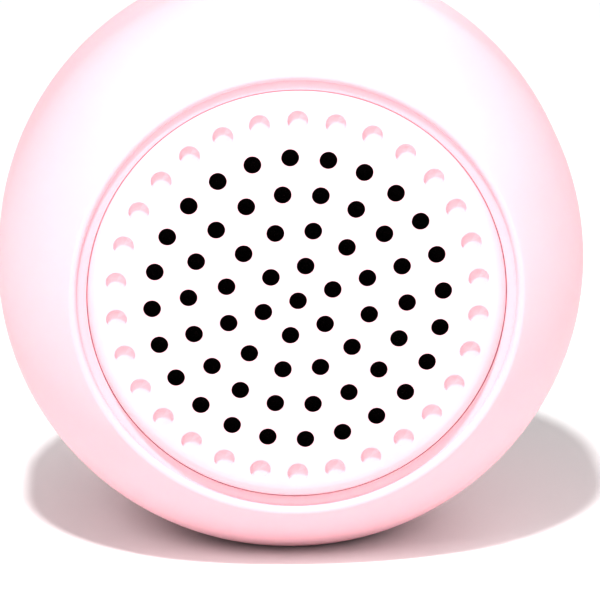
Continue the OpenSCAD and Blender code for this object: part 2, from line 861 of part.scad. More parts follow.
module light_pipe() {
    color([0.9, 0.95, 1]) intersection() {
        upright(pipe_r, pipe_x, key_s, switch_top + 0.1, 50);
        rear_zone(0, 30, 45);
    }
}

module microphone() {
    color(steel) at(-pipe_x, switch_top - 1, key_s) {
        cylinder(r = 1.7, h = 1.6);
        translate([-1, -0.5, -0.4]) cube([2, board_s - key_s + 0.48, 1]);
    }
}

module microphone_boot() {
    color(rubber_grey) intersection() {
        difference() {
            upright(boot_r, -pipe_x, key_s, switch_top + 0.65, 50);
            upright(mic_hole_r, -pipe_x, key_s, switch_top, 50);
        }
        rear_zone(sleeve_t + 0.1, 30, 45);
    }
}

// ---- Keys ----

// One key: a cap that follows the ball's curve and a stem that reaches its switch.
module key(d, x) {
    color(pink) union() {
        intersection() {
            upright(d / 2, x, key_s, 30, 50);
            difference() {
                rear_zone(-key_proud, 28, 45);
                rear_zone(0.9, 27, 46);
            }
        }
        intersection() {
            upright(key_stem_r, x, key_s, stem_end, 50);
            rear_zone(0.3, 28, 45);
        }
    }
}

module play_key() {
    key(play_d, 0);
}

module volume_up_key() {
    key(volume_d, key_gap);
}

module volume_down_key() {
    key(volume_d, -key_gap);
}

module stem_seals() {
    color(rubber_grey) for (x = [-1, 0, 1])
        at(x * key_gap, (x == 0 ? 35 : 32.3) + 0.55, key_s)
            rotate_extrude() translate([2.62, 0]) circle(r = 0.5, $fn = 32);
}

// ---- Charging port ----

module charge_socket() {
    color(steel) difference() {
        block([27.7, -4.5, board_back + 0.02], [socket_x, 4.5, board_back + 3.22]);
        block([29, -4.2, board_back + 0.3], [socket_x + 1, 4.2, board_back + 2.94]);
    }
    color(black)
        block([28.9, -3.3, board_back + 1.27], [socket_x - 0.5, 3.3, board_back + 1.97]);
}

module socket_gasket() {
    color(rubber_grey) difference() {
        block([32.2, -5.5, board_back + 0.02], [33.7, 5.5, board_back + 4.3]);
        block([32, -4.55, board_back - 1], [36, 4.55, board_back + 3.3]);
    }
}

module port_flap() {
    nail_s = flap_front + 1.3;
    nail_x = ball_r * cos(rear_angle_at(0, nail_s)) + 0.15;
    color(pink) difference() {
        union() {
            intersection() {
                block([30, -flap_h / 2, flap_front], [50, flap_h / 2, flap_back]);
                difference() {
                    rear_zone(0, 30, 48);
                    rear_zone(flap_t, 29, 49);
                }
            }
            intersection() {
                block([30, -knuckle_h / 2, flap_back - 1], [50, knuckle_h / 2, pin_s - 0.3]);
                difference() {
                    rear_zone(0.1, 30, 48);
                    rear_zone(flap_t + 0.3, 29, 49);
                }
            }
            at(pin_x, -knuckle_h / 2, pin_s) cylinder(r = knuckle_r, h = knuckle_h);
        }
        at(pin_x, -10, pin_s) cylinder(r = flap_pin_r + 0.06, h = 20, $fn = 48);
        at(nail_x, -2.6, nail_s) cylinder(r = nail_groove_r, h = 5.2, $fn = 32);
    }
}

module flap_seal() {
    color(rubber_grey) intersection() {
        port_slot(port_w - 0.8, port_h - 0.8, 33, 45);
        difference() {
            rear_zone(flap_t + 0.02, 30, 48);
            rear_zone(flap_t + 1.3, 29, 49);
        }
    }
}

module flap_pin() {
    color(steel) at(pin_x, -lug_out, pin_s)
        cylinder(r = flap_pin_r, h = 2 * lug_out, $fn = 48);
}

// ---- Suction cup ----

module cup_hub() {
    grips = 12;
    color(white_plastic) difference() {
        union() {
            disc(13.2, hub_flange_s, hub_back);
            disc(stem_d / 2, socket_floor + 0.5, hub_flange_s + 1);
            axial() around(2, 0, 0)
                translate([0, -2.6, socket_floor + 0.5]) cube([lug_reach, 5.2, 3]);
            disc(stud_r, hub_back - 1, stud_neck_s);
            disc(stud_head_r, stud_neck_s - small_gap, stud_end_s);
        }
        axial() around(grips, 14.2, 15)
            translate([0, 0, hub_flange_s - 1]) cylinder(r = 1.8, h = 5, $fn = 32);
        ring(stem_d / 2 - 0.95, stem_d / 2 + 1, 61.5, 62.5);
        disc(6, socket_floor - 1, 62);
    }
}

module hub_seal() {
    color(rubber_grey) o_ring(stem_d / 2 - 0.45, 0.46, 62);
}

function cup_front(r) =
    stud_neck_s + (cup_rim_s - 1 - stud_neck_s)
        * pow((r - cup_neck_r) / (cup_d / 2 - cup_neck_r), 1.3);
function cup_back(r) =
    cup_rim_s - cup_dish * (1 - pow(r / (cup_d / 2 - rim_lip), 2));

module suction_cup() {
    steps = 12;
    rim_r = cup_d / 2;
    dish_r = rim_r - rim_lip;
    tab_w = 9;
    color([1, 0.86, 0.89]) union() {
        axial() rotate_extrude() polygon(concat(
            [[stud_r + small_gap, hub_back + small_gap], [cup_neck_r, hub_back + small_gap]],
            [for (i = [0 : steps])
                let (r = cup_neck_r + (rim_r - cup_neck_r) * i / steps) [r, cup_front(r)]],
            [[rim_r, cup_rim_s]],
            [for (i = [steps : -1 : 0]) let (r = dish_r * i / steps) [r, cup_back(r)]],
            [
                [0, stud_end_s + small_gap],
                [stud_head_r + small_gap, stud_end_s + small_gap],
                [stud_head_r + small_gap, stud_neck_s - 2 * small_gap],
                [stud_r + small_gap, stud_neck_s - 2 * small_gap]
            ]
        ));
        block([-tab_w / 2, rim_r - 1, cup_rim_s - 1.2], [tab_w / 2, rim_r + 3.5, cup_rim_s]);
        at(0, rim_r + 3.5, cup_rim_s - 1.2) rotate([-90, 0, 0]) cylinder(d = tab_w, h = 1.2);
    }
}

silicone_sleeve();
grille_disc();
acoustic_mesh();
front_frame();
rear_frame();
seam_seal();
frame_screws();
driver_gasket();
driver_basket();
driver_screws();
cone_surround();
speaker_cone();
dust_cap();
coil_former();
coil_winding();
spider();
top_plate();
ring_magnet();
pole_plate();
terminal_strip();
solder_tabs();
speaker_leads();
speaker_plug();
battery_cell();
battery_pad();
battery_tray();
battery_leads();
battery_plug();
tray_screws();
main_board();
bluetooth_module();
amplifier_chip();
board_capacitors();
power_inductor();
key_switches();
status_led();
light_pipe();
microphone();
microphone_boot();
play_key();
volume_up_key();
volume_down_key();
stem_seals();
charge_socket();
socket_gasket();
port_flap();
flap_seal();
flap_pin();
cup_hub();
hub_seal();
suction_cup();
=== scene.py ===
"""The looks of a ball-shaped shower speaker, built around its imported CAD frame.

Shapes are worked out in millimetres and turned into metres when a mesh is made. Most pieces
follow the speaker's own axis: r is the distance from that axis, s is the distance behind the
centre of the front disc, x is to the right and h is the height above the axis.
"""
import json
import math

import bmesh
import bpy
import numpy as np
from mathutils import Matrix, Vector
from mathutils.geometry import delaunay_2d_cdt


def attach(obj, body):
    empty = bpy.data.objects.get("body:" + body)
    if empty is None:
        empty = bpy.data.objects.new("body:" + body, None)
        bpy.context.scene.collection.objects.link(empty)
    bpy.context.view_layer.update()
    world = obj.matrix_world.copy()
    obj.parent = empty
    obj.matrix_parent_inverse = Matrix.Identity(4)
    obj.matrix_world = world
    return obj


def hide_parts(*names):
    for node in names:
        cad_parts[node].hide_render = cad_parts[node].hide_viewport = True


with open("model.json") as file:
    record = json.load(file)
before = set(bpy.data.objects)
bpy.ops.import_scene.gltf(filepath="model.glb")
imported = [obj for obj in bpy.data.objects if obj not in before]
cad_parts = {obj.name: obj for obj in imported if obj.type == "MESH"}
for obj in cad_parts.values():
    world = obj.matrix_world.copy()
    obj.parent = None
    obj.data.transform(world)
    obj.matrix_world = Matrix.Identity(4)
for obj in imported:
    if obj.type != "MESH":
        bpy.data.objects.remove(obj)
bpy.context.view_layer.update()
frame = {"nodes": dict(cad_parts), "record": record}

MM = 0.001

# ---- The speaker's driving dimensions, as in the CAD source ----

BALL_R = 41.5
FRONT_LEN = 30.15
REAR_LEN = 36
BAND_FRONT = 21.85
BAND_LEN = 8.25
BAND_REAR = BAND_FRONT + BAND_LEN
ORIGIN_S = BAND_FRONT + BAND_LEN / 2
AXIS_H = 40.3
SLEEVE_T = 1.6
SLEEVE_FLOOR = 1.4

PITCH = 5
HOLE_R = 1.2
HOLE_LEN = 0.4
RELIEF_R = 1.8
HOLE_RINGS = 4
FIRST_ANGLE = math.radians(18)
DIMPLE_R = 1.4
DIMPLE_DEPTH = 0.8
DISC_R = 28.9
DISC_T = 2
DISC_EDGE = 2.5
CROWN_R = 340
SHELF_R = 22.4
RECESS_R = 24.6
RECESS_S = 3.4
LEDGE_S = 4
LIP_R = 0.75
LIP_ANGLE = math.radians(40.55)
GROOVE_R = DISC_R + 0.02
GROOVE_S = 2.9

KEY_S = 35.2
KEY_GAP = 13.5
KEY_PROUD = 0.7
KEY_UNDER = 0.9
KEY_CLEARANCE = 0.3
PLAY_R = 5.2
VOLUME_R = 4.3
STEM_R = 2
STEM_END = 27.15
PIPE_X = 7
PIPE_R = 0.85
MIC_R = 0.6

FLAP_FRONT = 35.2
FLAP_BACK = 43
FLAP_H = 12.4
FLAP_T = 1.3
FLAP_GAP = 0.3
PORT_BACK = 46.5
PIN_X = 36.3
PIN_S = 44.6
PIN_BORE = 0.66
KNUCKLE_R = 1.25
KNUCKLE_H = 4.4

REAR_HOLE_R = 14.5
CUP_R = 30
CUP_RIM_S = 79
CUP_DISH = 4.2
CUP_LIP = 2.5
CUP_NECK_R = 8.5
HUB_BACK = 66.6
STUD_R = 4
STUD_HEAD_R = 6
STUD_NECK_S = 71
STUD_END_S = 73

BOARD_BACK = 38.25
CAN_FROM = 0.83         # the shield can's start, behind the board
CAPACITOR_H = 8         # the capacitors' middle, above the axis
CAPACITOR_TOP = 6.45    # their bare top's start, behind the board
STRIPE_FROM = 1.9       # the stripe's start, above their middle


# ---- Places and curves ----

def place(x, h, s):
    """The point at x to the right, h above the axis and s behind the disc, in metres."""
    return Vector((x, s - ORIGIN_S, AXIS_H + h)) * MM


def on_axis(r, angle, s):
    """The point at distance r from the axis, turned by angle from the right upwards."""
    return place(r * math.cos(angle), r * math.sin(angle), s)


def ball_r(s, depth=0.0):
    """The ball's radius at s, at a depth below the sleeve's surface."""
    if s < BAND_FRONT:
        share = (BAND_FRONT - s) / (FRONT_LEN - depth)
    else:
        share = max(0.0, s - BAND_REAR) / (REAR_LEN - depth)
    return (BALL_R - depth) * math.sqrt(max(0.0, 1 - share * share))


def ball_top(x, s, depth=0.0):
    """Height of the ball above the axis at x and s. It is also how far right it reaches at h and s."""
    return math.sqrt(max(0.0, ball_r(s, depth) ** 2 - x * x))


def crown(r):
    """How far the front disc's crowned face lies behind its centre at r."""
    return CROWN_R - math.sqrt(CROWN_R * CROWN_R - r * r)


def circle_line(cx, cy, r, count):
    """Points round a circle, anticlockwise."""
    turn = 2 * math.pi / count
    return [(cx + r * math.cos(i * turn), cy + r * math.sin(i * turn)) for i in range(count)]


def rounded_box_line(x0, y0, x1, y1, r, per_corner=8, per_side=10):
    """Points round a box with rounded corners, anticlockwise."""
    corners = [(x1 - r, y1 - r, 0), (x0 + r, y1 - r, 1), (x0 + r, y0 + r, 2), (x1 - r, y0 + r, 3)]
    line = []
    for k, (cx, cy, quarter) in enumerate(corners):
        for i in range(per_corner + 1):
            a = math.pi / 2 * (quarter + i / per_corner)
            line.append((cx + r * math.cos(a), cy + r * math.sin(a)))
        nx, ny, quarter = corners[(k + 1) % 4]
        a = math.pi / 2 * quarter
        end = (nx + r * math.cos(a), ny + r * math.sin(a))
        start = line[-1]
        for i in range(1, per_side):
            t = i / per_side
            line.append((start[0] + (end[0] - start[0]) * t, start[1] + (end[1] - start[1]) * t))
    return line


def grown(line, amount):
    """The closed line moved outwards by amount. It runs anticlockwise."""
    p = np.array(line)
    along = np.roll(p, -1, 0) - np.roll(p, 1, 0)
    along /= np.linalg.norm(along, axis=1)[:, None]
    return [tuple(q) for q in p + amount * np.stack([along[:, 1], -along[:, 0]], 1)]


def inside(points, line):
    """For each point, whether it lies inside the closed line."""
    p = np.asarray(points, float).reshape(-1, 2)
    q = np.asarray(line, float)
    found = np.zeros(len(p), bool)
    for a, b in zip(q, np.roll(q, -1, 0)):
        if a[1] == b[1]:
            continue
        crosses = (a[1] > p[:, 1]) != (b[1] > p[:, 1])
        at = a[0] + (p[:, 1] - a[1]) * (b[0] - a[0]) / (b[1] - a[1])
        found ^= crosses & (p[:, 0] < at)
    return found


def far_from(points, line, gap):
    """For each point, whether it is at least gap from every point of the line."""
    p = np.asarray(points, float).reshape(-1, 1, 2)
    q = np.asarray(line, float).reshape(1, -1, 2)
    return (((p - q) ** 2).sum(2) >= gap * gap).all(1)


def clear_of(points, holes, gap=0.0):
    """For each point, whether it is outside every hole and at least gap from the hole's line."""
    clear = np.ones(len(points), bool)
    for line in holes:
        clear &= ~inside(points, line)
        if gap:
            clear &= far_from(points, line, gap)
    return clear


def triangles(points, edges, keep):
    """Triangles over 2D points, with the edges kept. keep says which of their centres stay."""
    made = delaunay_2d_cdt([Vector(p) for p in points], edges, [], 0, 1e-6)
    first = [o[0] if o else -1 for o in made[3]]
    if -1 in first:
        raise ValueError("the rings of an outline cross each other")
    centres = np.array([np.mean([tuple(made[0][i]) for i in f], axis=0) for f in made[2]])
    stays = keep(centres)
    return [tuple(first[i] for i in f) for f, ok in zip(made[2], stays) if ok]


# ---- Meshes ----

def shown(name, data):
    """A new object in the scene."""
    made = bpy.data.objects.new(name, data)
    bpy.context.scene.collection.objects.link(made)
    return made


class Points:
    """Numbered points, and faces between them."""

    def __init__(self):
        self.points = []
        self.faces = []

    def add(self, points):
        """Adds points and returns their numbers."""
        start = len(self.points)
        self.points.extend(points)
        return list(range(start, len(self.points)))


class Shell(Points):
    """The points and faces of one piece, in metres."""

    def join(self, a, b):
        """A strip of faces between two closed rings of the same length."""
        count = len(a)
        for i in range(count):
            j = (i + 1) % count
            self.faces.append((a[i], a[j], b[j], b[i]))

    def strip(self, rings):
        """Strips between each ring of points and the next. Returns the rings' numbers."""
        numbers = [self.add(ring) for ring in rings]
        for a, b in zip(numbers, numbers[1:]):
            self.join(a, b)
        return numbers

    def fan(self, ring):
        """Closes a ring with triangles to its middle."""
        middle = sum((self.points[i] for i in ring), Vector()) / len(ring)
        m = self.add([middle])[0]
        for i, a in enumerate(ring):
            self.faces.append((a, ring[(i + 1) % len(ring)], m))

    def piece(self, name, body, slot, replaces=(), sharp=40):
        """Makes the object, smooth but for edges sharper than that many degrees."""
        mesh = bpy.data.meshes.new(name)
        mesh.from_pydata(self.points, [], self.faces)
        b = bmesh.new()
        b.from_mesh(mesh)
        bmesh.ops.remove_doubles(b, verts=b.verts, dist=1e-7)
        bmesh.ops.recalc_face_normals(b, faces=b.faces)
        b.to_mesh(mesh)
        b.free()
        mesh.shade_smooth()
        mesh.set_sharp_from_angle(angle=math.radians(sharp))
        made = shown(name, mesh)
        made.data.materials.append(MATERIALS[slot])
        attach(made, body)
        if replaces:
            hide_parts(*replaces)
        return made


def rounded_profile(corners, steps=5):
    """A closed (r, s) profile whose corners, given as (r, s, radius), are rounded."""
    made = []
    count = len(corners)
    for i, (r, s, radius) in enumerate(corners):
        here = Vector((r, s))
        if radius == 0:
            made.append((r, s))
            continue
        before = (Vector(corners[i - 1][:2]) - here).normalized()
        after = (Vector(corners[(i + 1) % count][:2]) - here).normalized()
        half = before.angle(after) / 2
        reach = radius / math.tan(half)
        middle = here + (before + after).normalized() * radius / math.sin(half)
        start = here + before * reach - middle
        end = here + after * reach - middle
        for k in range(steps + 1):
            t = k / steps
            made.append(tuple(middle + (start * (1 - t) + end * t).normalized() * radius))
    return made


# ---- Materials ----

MATERIALS = {}        # every finish, by the name it was asked for
WAVE_SCALE = 0.314    # a wave texture's scale for ridges that are 1 apart


class Finish:
    """One material: a Principled shader and the nodes that feed it."""

    def __init__(self, name, **sockets):
        self.material = MATERIALS[name] = bpy.data.materials.new(name)
        self.material.use_nodes = True
        self.tree = self.material.node_tree
        self.shader = self.tree.nodes["Principled BSDF"]
        for socket, value in sockets.items():
            self.shader.inputs[socket.replace("_", " ")].default_value = value
        self.coords = self.node("ShaderNodeTexCoord").outputs["Object"]
        self.relief = None

    def node(self, kind, inputs=None, **settings):
        """A node with these settings, whose inputs are linked or set."""
        made = self.tree.nodes.new(kind)
        for key, value in settings.items():
            setattr(made, key, value)
        for key, value in (inputs or {}).items():
            self.feed(made.inputs[key], value)
        return made

    def feed(self, socket, value):
        """Links an output to a socket, or sets the socket to a plain value."""
        if isinstance(value, bpy.types.NodeSocket):
            self.tree.links.new(value, socket)
        else:
            socket.default_value = value

    def stretched(self, scale, turn=(0, 0, 0)):
        """The coordinates scaled by three factors."""
        return self.node("ShaderNodeMapping", {"Vector": self.coords, "Scale": scale,
                                               "Rotation": turn}).outputs["Vector"]

    def noise(self, size, detail=3.0, vector=None, roughness=0.5):
        """Cloudy noise whose features are about size millimetres across."""
        return self.node("ShaderNodeTexNoise", {
            "Vector": vector or self.coords, "Scale": 1 / (size * MM), "Detail": detail,
            "Roughness": roughness}).outputs["Fac"]

    def cells(self, size, feature="F1"):
        """Rounded cells about size millimetres across."""
        return self.node("ShaderNodeTexVoronoi", {"Vector": self.coords, "Scale": 1 / (size * MM)},
                         feature=feature).outputs["Distance"]

    def ridges(self, pitch, vector, bend, **settings):
        """Ridges every pitch millimetres."""
        return self.node("ShaderNodeTexWave", {
            "Vector": vector, "Scale": WAVE_SCALE / (pitch * MM), "Distortion": bend},
            **settings).outputs["Fac"]

    def waves(self, pitch, direction, bend=0.0):
        """Straight ridges, counted along a direction."""
        return self.ridges(pitch, self.coords, bend, bands_direction=direction)

    def rings(self, pitch, bend=0.0):
        """Round ridges about the speaker's axis."""
        moved = self.node("ShaderNodeVectorMath", {0: self.coords, 1: (0, 0, AXIS_H * MM)},
                          operation="SUBTRACT")
        return self.ridges(pitch, moved.outputs["Vector"], bend, wave_type="RINGS",
                           rings_direction="Y")

    def past(self, axis, limit):
        """1 where the coordinate along an axis is over a limit in metres, or else 0."""
        split = self.node("ShaderNodeSeparateXYZ", {"Vector": self.coords})
        return self.sum("GREATER_THAN", split.outputs[axis], limit)

    def sum(self, kind, a, b):
        """The result of a Math node of that kind."""
        return self.node("ShaderNodeMath", {0: a, 1: b}, operation=kind).outputs["Value"]

    def ranged(self, value, low, high, from_low=0.0, from_high=1.0):
        """A value moved from one range to another, held within it."""
        return self.node("ShaderNodeMapRange", {
            "Value": value, "From Min": from_low, "From Max": from_high, "To Min": low,
            "To Max": high}).outputs["Result"]

    def blended(self, share, a, b):
        """Colour a where share is 0 and colour b where it is 1."""
        a, b = (c if isinstance(c, bpy.types.NodeSocket) else (*c, 1) for c in (a, b))
        return self.node("ShaderNodeMix", {"Factor": share, 6: a, 7: b},
                         data_type="RGBA").outputs[2]

    def colour(self, value):
        self.feed(self.shader.inputs["Base Color"], value)

    def rough(self, value, low, high):
        self.feed(self.shader.inputs["Roughness"], self.ranged(value, low, high))

    def raised(self, height, depth, strength=1.0):
        """Adds relief that is depth millimetres deep."""
        made = self.node("ShaderNodeBump", {"Strength": strength, "Distance": depth * MM,
                                            "Height": height})
        if self.relief:
            self.feed(made.inputs["Normal"], self.relief)
        self.relief = made.outputs["Normal"]
        self.feed(self.shader.inputs["Normal"], self.relief)

    def edges(self):
        """0 in hollows, 0.5 on even faces and 1 on outer edges."""
        point = self.node("ShaderNodeNewGeometry").outputs["Pointiness"]
        return self.ranged(point, 0.0, 1.0, 0.4, 0.6)


def scaled(colour, factor):
    return tuple(min(1.0, c * factor) for c in colour)


def moulded(name, colour, rough=0.45, grain=0.35, depth=0.012, **sockets):
    """Moulded plastic: a spark-eroded grain, faint flow marks, and paler edges that are partly rubbing
    wear and partly a painted highlight.
    """
    f = Finish(name, **sockets)
    flow = f.noise(9, detail=4)
    body = f.blended(flow, scaled(colour, 0.93), scaled(colour, 1.04))
    # Convex edges are painted up to 12% paler: part rubbing wear, part painted highlight.
    f.colour(f.blended(f.ranged(f.edges(), 0.0, 0.5, 0.5, 1.0), body, scaled(colour, 1.12)))
    f.rough(f.noise(2.5, detail=5), rough - 0.08, rough + 0.1)
    f.raised(f.noise(grain, detail=4), depth)


def silicone(name, colour, deep, rough=0.5, **sockets):
    """Soft-touch silicone: a very fine matt grain, faint clouding, and painted shade, which is the
    deep colour in hollows.
    """
    f = Finish(name, **sockets)
    cloud = f.blended(f.noise(14, detail=3), scaled(colour, 0.985), scaled(colour, 1.015))
    # Concave places fade to the deep colour: painted shade in the hollows.
    painted_hollow_shade = f.ranged(f.edges(), 1.0, 0.0, 0.0, 0.45)
    f.colour(f.blended(painted_hollow_shade, cloud, deep))
    f.rough(f.noise(1.2, detail=6), rough - 0.06, rough + 0.08)
    f.raised(f.noise(0.18, detail=3), 0.004)
    f.raised(f.noise(5, detail=2), 0.01)


def rubber(name, colour, rough=0.6):
    """Matt black or grey rubber with a bloom of dust in its pores."""
    f = Finish(name, Specular_IOR_Level=0.35)
    f.colour(f.blended(f.noise(3, detail=6), scaled(colour, 0.8), scaled(colour, 1.3)))
    f.rough(f.noise(0.9, detail=5), rough - 0.1, rough + 0.15)
    f.raised(f.noise(0.22, detail=4), 0.012)


def metal(name, colour, rough=0.3, brushed=(1, 1, 1), depth=0.004):
    """Plated metal: brush marks, cloudy plating, and brighter edges that are partly worn plating and
    partly a painted highlight.
    """
    f = Finish(name, Metallic=1.0)
    marks = f.noise(0.25, detail=6, vector=f.stretched(brushed))
    cloud = f.noise(4, detail=5)
    body = f.blended(cloud, scaled(colour, 0.82), scaled(colour, 1.05))
    # Convex edges are painted up to 25% brighter: part worn plating, part painted highlight.
    f.colour(f.blended(f.ranged(f.edges(), 0.0, 0.6, 0.5, 1.0), body, scaled(colour, 1.25)))
    f.rough(f.sum("MULTIPLY", marks, f.sum("ADD", cloud, 0.5)), rough - 0.1, rough + 0.2)
    f.raised(marks, depth)


def woven(name, dark, light, pitch, depth):
    """Plain weave: threads that pass over and under each other in two directions, their colour darker
    where they lie low, as painted shade between threads.
    """
    f = Finish(name, Specular_IOR_Level=0.3)
    across = f.waves(pitch, "X")
    up = f.waves(pitch, "Z")
    offset_across = f.waves(pitch * 2, "X")
    offset_up = f.waves(pitch * 2, "Z")
    checks = f.sum("GREATER_THAN", f.sum("MULTIPLY", f.sum("SUBTRACT", offset_across, 0.5),
                                         f.sum("SUBTRACT", offset_up, 0.5)), 0.0)
    height = f.node("ShaderNodeMix", {"Factor": checks, "A": across, "B": up},
                    data_type="FLOAT").outputs["Result"]
    fuzz = f.noise(0.3, detail=5)
    # The colour follows the threads' height, so the low parts are painted shade.
    f.colour(f.blended(f.sum("MULTIPLY", height, f.sum("ADD", fuzz, 0.4)), dark, light))
    f.rough(fuzz, 0.7, 0.95)
    f.raised(height, depth)


def cone_paper():
    """Pressed paper: long fibres, pulp clouds and fine rings from the mould."""
    f = Finish("cone_paper", Specular_IOR_Level=0.3)
    pulp = f.noise(1.1, detail=8, roughness=0.7)
    f.colour(f.blended(pulp, (0.012, 0.012, 0.013), (0.075, 0.072, 0.07)))
    f.rough(pulp, 0.65, 0.95)
    f.raised(f.rings(0.9, bend=1.0), 0.02, 0.5)
    f.raised(pulp, 0.03)


def former_film():
    """Amber film with a faint overlap and fine scratches round it."""
    f = Finish("former_amber", Specular_IOR_Level=0.6)
    f.colour(f.blended(f.noise(2.5, detail=4), (0.55, 0.30, 0.06), (0.78, 0.48, 0.12)))
    f.rough(f.noise(0.4, detail=5, vector=f.stretched((0.1, 1, 0.1))), 0.18, 0.4)
    f.raised(f.waves(0.8, "Y"), 0.004)


def winding():
    """Enamelled copper wire wound side by side, with painted shade in the dark grooves between turns.
    """
    f = Finish("winding_copper", Metallic=1.0)
    turns = f.waves(0.16, "Y", bend=0.1)
    glow = f.blended(f.noise(1.5, detail=3), (0.55, 0.20, 0.07), (0.85, 0.38, 0.16))
    # Between turns the colour fades to near black: painted shade in the grooves.
    f.colour(f.blended(f.ranged(turns, 0.0, 1.0, 0.0, 0.5), (0.12, 0.04, 0.015), glow))
    f.rough(turns, 0.4, 0.22)
    f.raised(turns, 0.05)


def leads(name, direction, middle, first, second):
    """Two insulated leads, told apart by which side of a plane they run on, in metres."""
    f = Finish(name, Specular_IOR_Level=0.45)
    side = f.past(direction, middle)
    dust = f.noise(1.2, detail=4)
    pair = f.blended(side, first, second)
    f.colour(f.blended(f.ranged(dust, 0.0, 0.2), pair, (0.5, 0.45, 0.43)))
    f.rough(dust, 0.32, 0.55)
    f.raised(f.noise(0.3, detail=3), 0.01)


def foil_pouch():
    """Laminated foil: crinkles near the folds over a soft satin film."""
    f = Finish("pouch_foil", Metallic=1.0)
    crinkle = f.cells(3.2, "DISTANCE_TO_EDGE")
    f.colour(f.blended(f.noise(6, detail=4), (0.60, 0.61, 0.63), (0.82, 0.82, 0.84)))
    f.rough(f.noise(1.6, detail=5), 0.28, 0.5)
    f.raised(f.ranged(crinkle, 0.0, 1.0, 0.0, 0.2), 0.05, 0.6)
    f.raised(f.noise(7, detail=3), 0.2, 0.5)


def foam():
    """Closed-cell foam tape, painted darker in the pits of its pores as painted shade."""
    f = Finish("foam_grey", Specular_IOR_Level=0.2)
    pores = f.cells(0.45)
    # Pore pits, low in the relief, are painted dark: painted shade.
    f.colour(f.blended(pores, (0.02, 0.02, 0.022), (0.12, 0.12, 0.125)))
    f.rough(pores, 0.8, 1.0)
    f.raised(pores, 0.1)


def circuit_board():
    """Green solder mask over copper tracks, with plated holes."""
    f = Finish("board_green", Specular_IOR_Level=0.55)
    flat = f.stretched((1, 1, 1), (math.pi / 2, 0, 0))
    maze = f.node("ShaderNodeTexBrick", {"Vector": flat, "Scale": 1 / (3.4 * MM),
                                         "Mortar Size": 0.06, "Mortar Smooth": 0.1},
                  offset=0.5, squash=1.0)
    tracks = f.sum("MULTIPLY", maze.outputs["Fac"],
                   f.sum("GREATER_THAN", f.noise(6, detail=1), 0.47))
    holes = f.sum("LESS_THAN", f.cells(4.5), 0.09)
    mask = f.blended(f.noise(8, detail=3), (0.006, 0.055, 0.022), (0.012, 0.085, 0.035))
    with_tracks = f.blended(tracks, mask, (0.02, 0.15, 0.05))
    f.colour(f.blended(holes, with_tracks, (0.65, 0.42, 0.14)))
    f.rough(f.noise(1.5, detail=4), 0.2, 0.36)
    f.raised(f.sum("ADD", tracks, holes), 0.02)


def shield_can():
    """Tinned shield can with a faint pressed frame and solder haze. The board under it is green."""
    f = Finish("can_steel", Metallic=0.85)
    is_can = f.past("Y", (BOARD_BACK + CAN_FROM - ORIGIN_S) * MM)
    haze = f.noise(2.2, detail=6)
    tin = f.blended(haze, (0.45, 0.46, 0.47), (0.78, 0.79, 0.80))
    f.colour(f.blended(is_can, (0.01, 0.07, 0.03), tin))
    f.rough(haze, 0.25, 0.5)
    f.raised(f.noise(0.5, detail=5, vector=f.stretched((1, 1, 0.15))), 0.01)


def capacitor_sleeve():
    """Shrunk sleeve with one paler stripe down the can, and a bare top."""
    f = Finish("capacitor_black", Specular_IOR_Level=0.5)
    stripe = f.past("Z", (AXIS_H + CAPACITOR_H + STRIPE_FROM) * MM)
    top = f.past("Y", (BOARD_BACK + CAPACITOR_TOP - ORIGIN_S) * MM)
    sleeve = f.blended(f.noise(2, detail=3), (0.010, 0.011, 0.02), (0.02, 0.022, 0.035))
    striped = f.blended(stripe, sleeve, (0.45, 0.46, 0.5))
    f.colour(f.blended(top, striped, (0.62, 0.63, 0.65)))
    f.rough(f.noise(0.8, detail=5), 0.25, 0.4)
    f.raised(f.noise(1.6, detail=3), 0.02)


def chip():
    """Epoxy package: matt grain and a rubbed sheen on its top."""
    f = Finish("chip_black", Specular_IOR_Level=0.4)
    f.colour(f.blended(f.noise(1.0, detail=6), (0.008, 0.008, 0.009), (0.03, 0.03, 0.032)))
    f.rough(f.noise(2.5, detail=3), 0.35, 0.6)
    f.raised(f.noise(0.12, detail=4), 0.01)


def clear_plastic(name, tint, rough):
    """Clear moulded plastic with fine internal streaks."""
    f = Finish(name, IOR=1.49, Transmission_Weight=0.85)
    streaks = f.noise(0.6, detail=4, vector=f.stretched((1, 1, 0.2)))
    f.colour(f.blended(streaks, scaled(tint, 0.9), tint))
    f.rough(streaks, rough, rough + 0.12)
    f.raised(f.noise(0.5, detail=3), 0.004)


WHITE = (0.80, 0.785, 0.785)
PINK = (0.945, 0.61, 0.66)
# The deeper pink that the sleeve and keys get in their hollows, as painted shade.
PINK_PAINTED_SHADE = (0.90, 0.48, 0.54)
DISC_PINK = (0.95, 0.66, 0.71)
silicone("sleeve_pink", PINK, PINK_PAINTED_SHADE, rough=0.46,
         Subsurface_Weight=0.06, Subsurface_Scale=0.002)
moulded("disc_pink", DISC_PINK, rough=0.42, grain=0.3, depth=0.006)
silicone("key_pink", (0.93, 0.56, 0.63), PINK_PAINTED_SHADE, rough=0.44)
